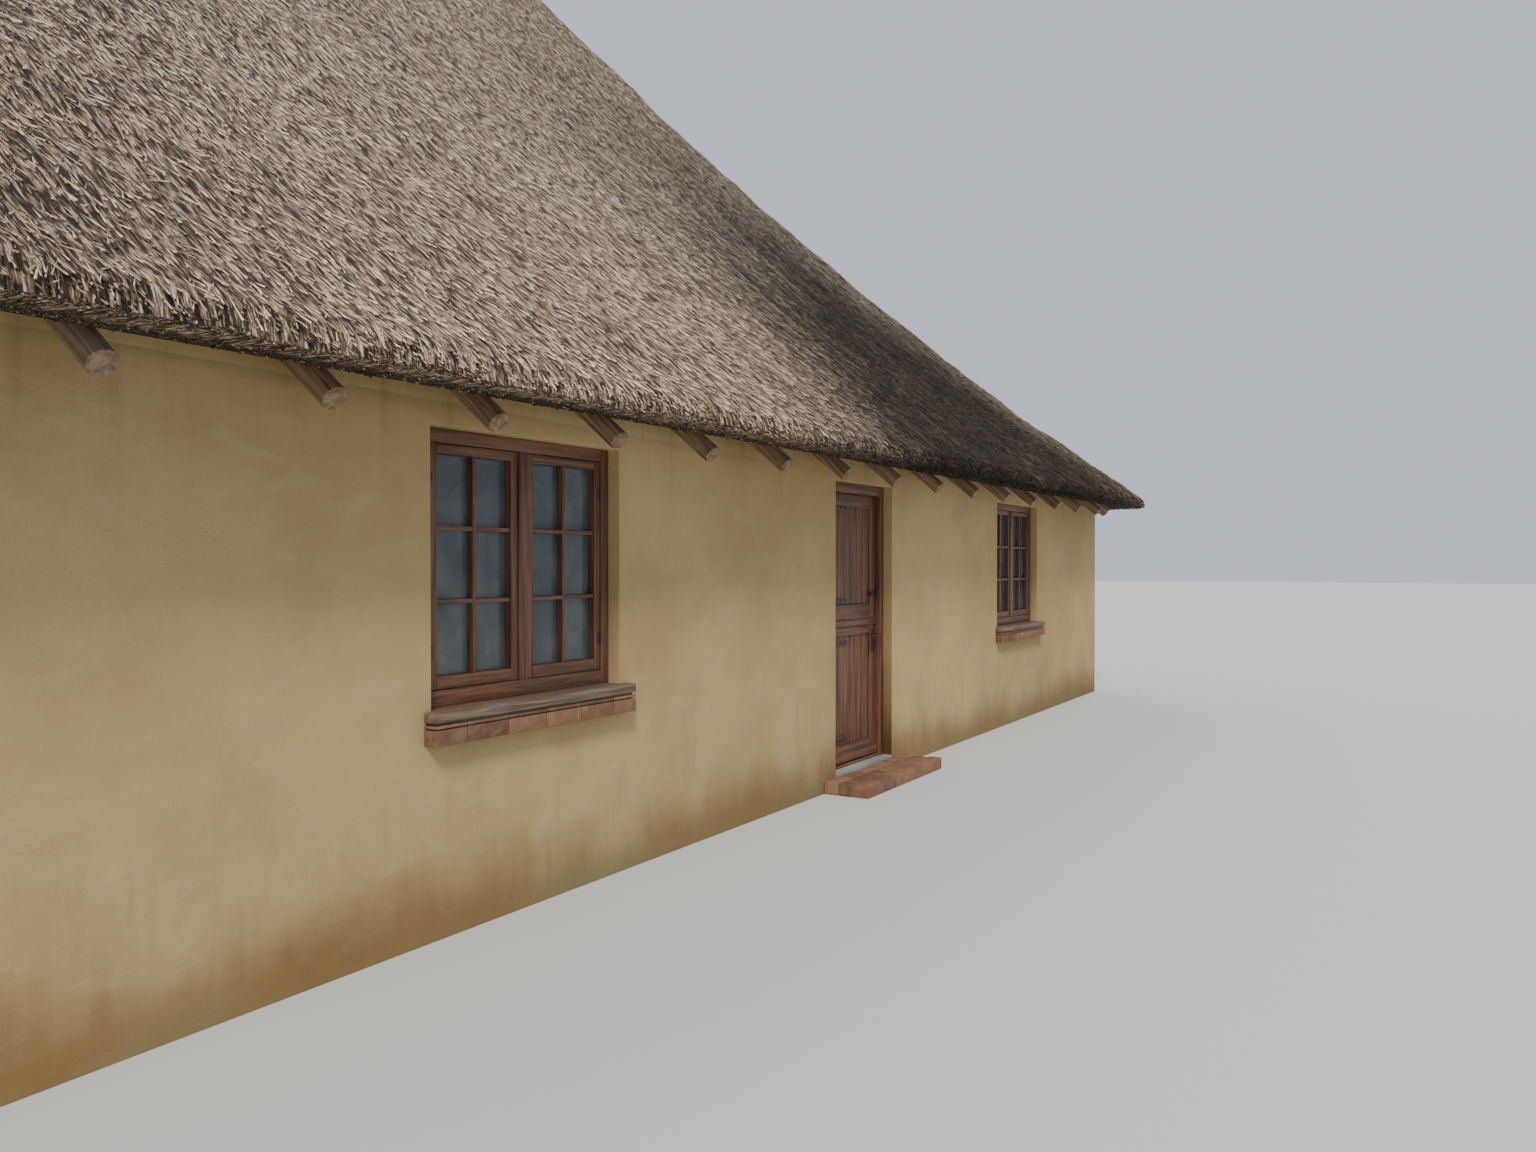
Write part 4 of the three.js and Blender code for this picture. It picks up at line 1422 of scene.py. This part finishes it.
def add_ridge():
    cap = softened("ridge_cap", "ridge_mortar_cap", CAP_EDGE)
    applied(cap, "REMESH", mode="VOXEL", voxel_size=0.036)
    applied(cap, "DISPLACE", texture=CRUST, texture_coords="LOCAL", strength=CAP_CRUST,
            mid_level=SURFACE_LEVEL)
    applied(cap, "SMOOTH", factor=0.5, iterations=3)
    smooth(cap, degrees=60)
    settled(cap, RIDGE_MORTAR, "mortar", "ridge_cap")
    kept_solid("ridge_pole", RIDGE_POLE_WOOD)


# Timber frames: what windows, sashes and the door have in common.
def surround(left, right, low, high, front, back, face, softness=0.003):
    """Two uprights of full height, and a head between them."""
    inner_left, inner_right = left + face, right - face
    return [
        block((left, front, low), (inner_left, back, high), softness),
        block((inner_right, front, low), (right, back, high), softness),
        block((inner_left, front, high - face), (inner_right, back, high), softness),
    ]


# Windows, made once with the wall face at y = 0 and copied to each opening.
def window_frame():
    """Jambs, head, bottom rail and mullion, each its own piece of timber."""
    front, back = REVEAL, REVEAL + FRAME_DEPTH
    low = TIMBER_SILL[1]
    rail_top = low + BOTTOM_RAIL
    pieces = surround(-WINDOW_HALF, WINDOW_HALF, low, HEAD, front, back, FRAME_FACE)
    pieces.append(block((-LIGHT_HALF, front, low), (LIGHT_HALF, back, rail_top)))
    pieces.append(block((-MULLION_HALF, front, rail_top),
                        (MULLION_HALF, front + MULLION_DEPTH, HEAD - FRAME_FACE)))
    return joined("window_frame", pieces)


def sash(left, right, low, high):
    """A casement: stiles, rails, and bars for two panes across and three up."""
    front = REVEAL + SASH_SETBACK
    back = front + SASH_DEPTH
    inner_left, inner_right = left + SASH_FACE, right - SASH_FACE
    inner_low, inner_high = low + SASH_FACE * FOOT_SHARE, high - SASH_FACE
    pieces = surround(left, right, low, high, front, back, SASH_FACE)
    pieces.append(block((inner_left, front, low), (inner_right, back, inner_low)))
    front, back = front + BAR_SETBACK, back - BAR_SETBACK
    bar_left = (inner_left + inner_right - BAR_FACE) / 2
    bar_right = (inner_left + inner_right + BAR_FACE) / 2
    pieces.append(block((bar_left, front, inner_low), (bar_right, back, inner_high)))
    for k in range(1, PANE_ROWS):
        z = inner_low + (inner_high - inner_low) * k / PANE_ROWS
        for start, end in ((inner_left, bar_left), (bar_right, inner_right)):
            pieces.append(block((start, front, z - BAR_FACE / 2), (end, back, z + BAR_FACE / 2)))
    return pieces


def window_sashes():
    low = TIMBER_SILL[1] + BOTTOM_RAIL + SASH_GAP
    high = HEAD - FRAME_FACE - SASH_GAP
    left = sash(-LIGHT_HALF + SASH_GAP, -MULLION_HALF - SASH_GAP, low, high)
    right = sash(MULLION_HALF + SASH_GAP, LIGHT_HALF - SASH_GAP, low, high)
    return joined("window_sashes", left + right)


def butt_hinge(x, z):
    """Three knuckles on a pin before the frame, and the leaf plate behind them."""
    pin = REVEAL + 0.004
    half_height = 0.030
    knuckle, pitch = 0.0195, 0.0205
    half_leaf_width = 0.021
    plate_front, plate_back = pin + 0.002, pin + 0.0055
    pieces = []
    for k in range(3):
        low = z - half_height + k * pitch
        pieces.append(cylinder((x, pin, low), (x, pin, low + knuckle), 0.0058, sides=12, softness=0.001))
    pieces.append(block((x - half_leaf_width, plate_front, z - half_height),
                        (x + half_leaf_width, plate_back, z + half_height), softness=0.0008))
    return pieces


def window_hinges():
    """Two butt hinges on each outer stile."""
    end_gap = 0.16
    heights = (TIMBER_SILL[1] + BOTTOM_RAIL + end_gap, HEAD - FRAME_FACE - end_gap)
    pieces = []
    for x in (-LIGHT_HALF, LIGHT_HALF):
        for z in heights:
            pieces += butt_hinge(x, z)
    return joined("window_hinges", pieces)


def window_catch():
    """A casement fastener with a hanging handle, and a peg stay, on the room side of each sash."""
    back = REVEAL + SASH_SETBACK + SASH_DEPTH
    stay_y = back + 0.006
    stay_z = TIMBER_SILL[1] + BOTTOM_RAIL + 0.03
    plate_half, plate_low, plate_high = 0.011, 1.46, 1.56
    pivot, handle_end = 1.52, 1.41
    pieces = []
    for side in (-1, 1):
        x = side * 0.05
        stay_start, stay_end = x + side * 0.05, x + side * 0.33
        pieces += [
            block((x - plate_half, back, plate_low), (x + plate_half, back + 0.004, plate_high),
                  softness=0.001),
            cylinder((x, back, pivot), (x, back + 0.03, pivot), 0.006, sides=12, softness=0.001),
            cylinder((x, back + 0.026, pivot), (x, back + 0.030, handle_end), 0.0065, sides=12,
                     softness=0.003),
            cylinder((stay_start, stay_y, stay_z), (stay_end, stay_y, stay_z), 0.0055, sides=12,
                     softness=0.002),
        ]
    return joined("window_catch", pieces)


# Sills.
def sill_outline(projection, back):
    outside = WINDOW_HALF + SILL_HORN
    return [(-outside, -projection), (outside, -projection), (outside, 0), (WINDOW_HALF, 0),
            (WINDOW_HALF, back), (-WINDOW_HALF, back), (-WINDOW_HALF, 0), (-outside, 0)]


def timber_sill():
    """The sill board, whose horns run on past the opening."""
    outline = sill_outline(SILL_PROJECTION, REVEAL + FRAME_DEPTH)
    board = outline_block(outline, *TIMBER_SILL, softness=0.006)
    return joined("timber_sill", [board])


def brick_sill_units():
    """A course of sill bricks under thin clay slips, parted by joints and by two dark grooves."""
    low, high = BRICK_SILL
    slip_top = high - SILL_GROOVES[1]
    slip_low = slip_top - SILL_SLIP
    brick_top = slip_low - SILL_GROOVES[0]
    proud = 0.001
    pieces = []
    x = -sum(SILL_UNITS) / 2
    for length in SILL_UNITS:
        start, end = x + SILL_JOINT / 2, x + length - SILL_JOINT / 2
        front = -SILL_PROJECTION + BRICK_WANDER + draw.uniform(-BRICK_WANDER, BRICK_WANDER)
        pieces.append(block((start, front, low), (end, SILL_UNIT_BACK, brick_top), BRICK_EDGE, segments=3))
        pieces.append(block((start, front - proud, slip_low), (end, SILL_UNIT_BACK, slip_top), segments=3))
        x += length
    return joined("sill_bricks", pieces)


def brick_sill_bed():
    """The mortar behind and between the sill bricks, set back from their faces."""
    outline = []
    for x, y in sill_outline(SILL_PROJECTION - SILL_BED_INSET, SILL_BED_BACK):
        at_horn = y <= 0 and abs(x) > WINDOW_HALF
        outline.append((x - math.copysign(SILL_BED_INSET, x) if at_horn else x, y))
    low, high = BRICK_SILL[0] + 0.004, BRICK_SILL[1] - 0.0005
    return joined("sill_bed", [outline_block(outline, low, high, softness=0.002)])


def add_windows():
    parts = [
        ("joinery", window_frame(), STAINED, "stained_timber", "frame"),
        ("board", timber_sill(), SILL_WOOD, "stained_timber", "frame"),
        ("casements", window_sashes(), STAINED, "stained_timber", None),
        ("hinges", window_hinges(), IRON, "stained_timber", None),
        ("catches", window_catch(), IRON, "stained_timber", None),
        ("bricks", brick_sill_units(), BRICK, "brick", "sill"),
        ("brick_bed", brick_sill_bed(), JOINT, "brick", "sill"),
    ]
    for window, (x, y, turn) in WINDOWS.items():
        for label, model, material, slot, node in parts:
            nodes = [f"{window}_{node}"] if node else []
            settled(copied(model, f"{window}_{label}", x, y, turn), material, slot, *nodes)
        kept_solid(f"{window}_glass", GLASS)
    for _, model, _, _, _ in parts:
        removed(model)


# The door: a frame, and a leaf in two halves that open one above the other.
def door_frame():
    front, back = REVEAL - WALL_Y, REVEAL + FRAME_DEPTH - WALL_Y
    inner = DOOR_HALF - JAMB_FACE
    setback = 0.01
    pieces = surround(-DOOR_HALF, DOOR_HALF, FLOOR_TOP, HEAD, front, back, JAMB_FACE, softness=0.004)
    pieces.append(block((-inner, front + setback, FLOOR_TOP), (inner, back, FLOOR_TOP + THRESHOLD),
                        softness=0.005))
    return joined("door_frame_timbers", pieces)


def half_leaf(low, high):
    """Stiles and rails round upright boards with open joints between them."""
    inner = LEAF_HALF - STILE
    board_low, board_high = low + STILE * FOOT_SHARE, high - STILE
    board_front, board_back = LEAF_FRONT + 0.010, LEAF_BACK - 0.008
    pieces = surround(-LEAF_HALF, LEAF_HALF, low, high, LEAF_FRONT, LEAF_BACK, STILE)
    pieces.append(block((-inner, LEAF_FRONT, low), (inner, LEAF_BACK, board_low)))
    width = 2 * inner / BOARDS
    for k in range(BOARDS):
        start = -inner + width * k + BOARD_GAP / 2
        pieces.append(block((start, board_front, board_low),
                            (start + width - BOARD_GAP, board_back, board_high), softness=0.0045))
    return pieces


def weather_board(low, high, proud, softness):
    """A board across the leaf that sheds the rain."""
    return block((-LEAF_HALF, LEAF_FRONT - proud, low), (LEAF_HALF, LEAF_FRONT, high),
                 softness, segments=3)


def door_leaf():
    pieces = half_leaf(LEAF_LOW, LEAF_SPLIT - LEAF_GAP) + half_leaf(LEAF_SPLIT + LEAF_GAP, LEAF_TOP)
    pieces.append(weather_board(LEAF_LOW + 0.004, LEAF_LOW + 0.062, proud=0.022, softness=0.008))
    pieces.append(weather_board(LEAF_SPLIT - 0.030, LEAF_SPLIT + 0.012, proud=0.016, softness=0.006))
    return joined("door_boards", pieces)


def on_leaf(x, proud, z):
    """A point before the leaf's face."""
    return (x, LEAF_FRONT - proud, z)


def strap_hinge(z):
    """A tapered strap with a rounded tip, its knuckle and its bolt heads."""
    left = -LEAF_HALF
    half_thickness = 0.0025
    knuckle_half = 0.032
    lower = [(left, -0.021), (left + 0.30, -0.011), (left + 0.325, -0.006)]
    upper = [(x, -y) for x, y in reversed(lower)]
    strap = outline_block(lower + upper, -half_thickness, half_thickness, softness=0.0012)
    place = Matrix.Translation(on_leaf(0, half_thickness, z))
    strap.data.transform(place @ Matrix.Rotation(math.pi / 2, 4, "X"))
    knuckle = cylinder(on_leaf(left, 0.006, z - knuckle_half), on_leaf(left, 0.006, z + knuckle_half), 0.008,
                       sides=14, softness=0.002)
    pieces = [strap, knuckle]
    for bolt in (0.05, 0.13, 0.21, 0.28):
        pieces.append(cylinder(on_leaf(left + bolt, 0.010, z), on_leaf(left + bolt, 0, z), 0.007,
                               sides=14, softness=0.003))
    return pieces


def lock(x):
    """The lock's plate, the lever on its neck, and the keyhole's barrel."""
    plate_low, plate_high = on_leaf(x - 0.021, 0.004, LOCK_PLATE[0]), on_leaf(x + 0.021, 0, LOCK_PLATE[1])
    lever_start = on_leaf(x + 0.008, 0.043, LEVER_HEIGHT)
    lever_end = on_leaf(x - 0.105, 0.046, LEVER_HEIGHT - 0.004)
    neck_end, neck_start = on_leaf(x, 0.045, LEVER_HEIGHT), on_leaf(x, 0, LEVER_HEIGHT)
    barrel_end, barrel_start = on_leaf(x, 0.006, KEYHOLE_HEIGHT), on_leaf(x, 0, KEYHOLE_HEIGHT)
    return [
        block(plate_low, plate_high, softness=0.0015),
        cylinder(neck_end, neck_start, 0.009, sides=16, softness=0.002),
        cylinder(lever_start, lever_end, 0.0085, sides=16, softness=0.005),
        cylinder(barrel_end, barrel_start, 0.008, sides=16, softness=0.002),
    ]


def bolt(x):
    """The upper leaf's bolt in its case."""
    case_half = 0.015
    low, high = BOLT_HEIGHT - case_half, BOLT_HEIGHT + case_half
    start, end = on_leaf(x - 0.045, 0.016, BOLT_HEIGHT), on_leaf(x + 0.035, 0.016, BOLT_HEIGHT)
    return [
        block(on_leaf(x - 0.055, 0.012, low), on_leaf(x + 0.045, 0, high)),
        cylinder(start, end, 0.006, sides=14, softness=0.002),
    ]


def door_iron():
    pieces = []
    for z in STRAP_HEIGHTS:
        pieces += strap_hinge(z)
    stile_middle = LEAF_HALF - STILE / 2
    return joined("door_iron", pieces + lock(stile_middle) + bolt(stile_middle))


def add_door():
    settled(door_frame(), STAINED, "stained_timber", "door_frame")
    settled(door_leaf(), STAINED, "stained_timber", "door_leaf")
    settled(door_iron(), IRON, "stained_timber")


def add_step():
    """Rows of bricks, every other row starting with a half one, in a mortar bed."""
    low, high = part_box("door_step")
    bricks = []
    for row in range(STEP_ROWS):
        y = low.y + STEP_MARGIN + row * (STEP_BRICK_WIDTH + STEP_GAP)
        x = low.x + STEP_MARGIN
        length = STEP_BRICK if row % 2 == 0 else (STEP_BRICK - STEP_GAP) / 2
        while x < high.x - SHORTEST_BRICK:
            end = min(x + length, high.x - STEP_MARGIN)
            top = high.z - STEP_MARGIN + draw.uniform(-BRICK_WANDER, BRICK_WANDER)
            bricks.append(block((x, y, low.z), (end, y + STEP_BRICK_WIDTH, top), STEP_BRICK_EDGE,
                                segments=3))
            x = end + STEP_GAP
            length = STEP_BRICK
    settled(joined("door_step_bricks", bricks), BRICK, "brick", "door_step")
    inset = STEP_BED_INSET
    behind = 0.0005
    bed = block((low.x + inset, low.y + inset, low.z),
                (high.x - inset, high.y - behind, high.z - inset), softness=0.004)
    settled(joined("door_step_bed", [bed]), JOINT, "brick", "door_step")


# Studio: a pale floor, soft light and the camera at the photograph's place.
def add_camera():
    lens = bpy.data.cameras.new("camera")
    lens.sensor_width = SENSOR
    lens.lens = SENSOR * FOCAL_PIXELS / PHOTO_WIDTH
    lens.clip_end = 400
    camera = linked("camera", lens)
    camera.location = CAMERA_PLACE
    camera.rotation_euler = CAMERA_WAY.to_track_quat("-Z", "Y").to_euler()
    bpy.context.scene.camera = camera


def add_sun(name, way, energy, colour, degrees):
    """A sun that shines along a way, as soft as its width in degrees."""
    light = bpy.data.lights.new(name, "SUN")
    light.energy = energy
    light.color = colour
    light.angle = math.radians(degrees)
    sun = linked(name, light)
    sun.rotation_euler = Vector(way).to_track_quat("-Z", "Y").to_euler()


def add_studio():
    floor = started("studio_floor", bpy.ops.mesh.primitive_circle_add, vertices=64, radius=90,
                    fill_type="NGON", location=(0, 0, -0.001))
    pale = Finish("pale_floor", roughness=0.9)
    pale.give("Base Color", (0.62, 0.62, 0.60, 1.0))
    floor.data.materials.append(pale.material)
    add_sun("soft_sun", way=(0.62, 0.42, -0.78), energy=2.8, colour=(1.0, 0.965, 0.91), degrees=14)
    add_sun("back_fill", way=(-0.5, -0.75, -0.6), energy=0.5, colour=(0.92, 0.96, 1.0), degrees=60)
    world = bpy.data.worlds.new("studio")
    world.use_nodes = True
    sky = world.node_tree.nodes["Background"]
    sky.inputs["Color"].default_value = (0.80, 0.88, 1.0, 1.0)
    sky.inputs["Strength"].default_value = 0.78
    bpy.context.scene.world = world


add_camera()
kept_solid("floor_slab", CONCRETE)
add_step()
add_door()
add_windows()
add_walls()
add_corner_packing()
add_roof_poles()
add_ridge()
add_thatch()
add_studio()
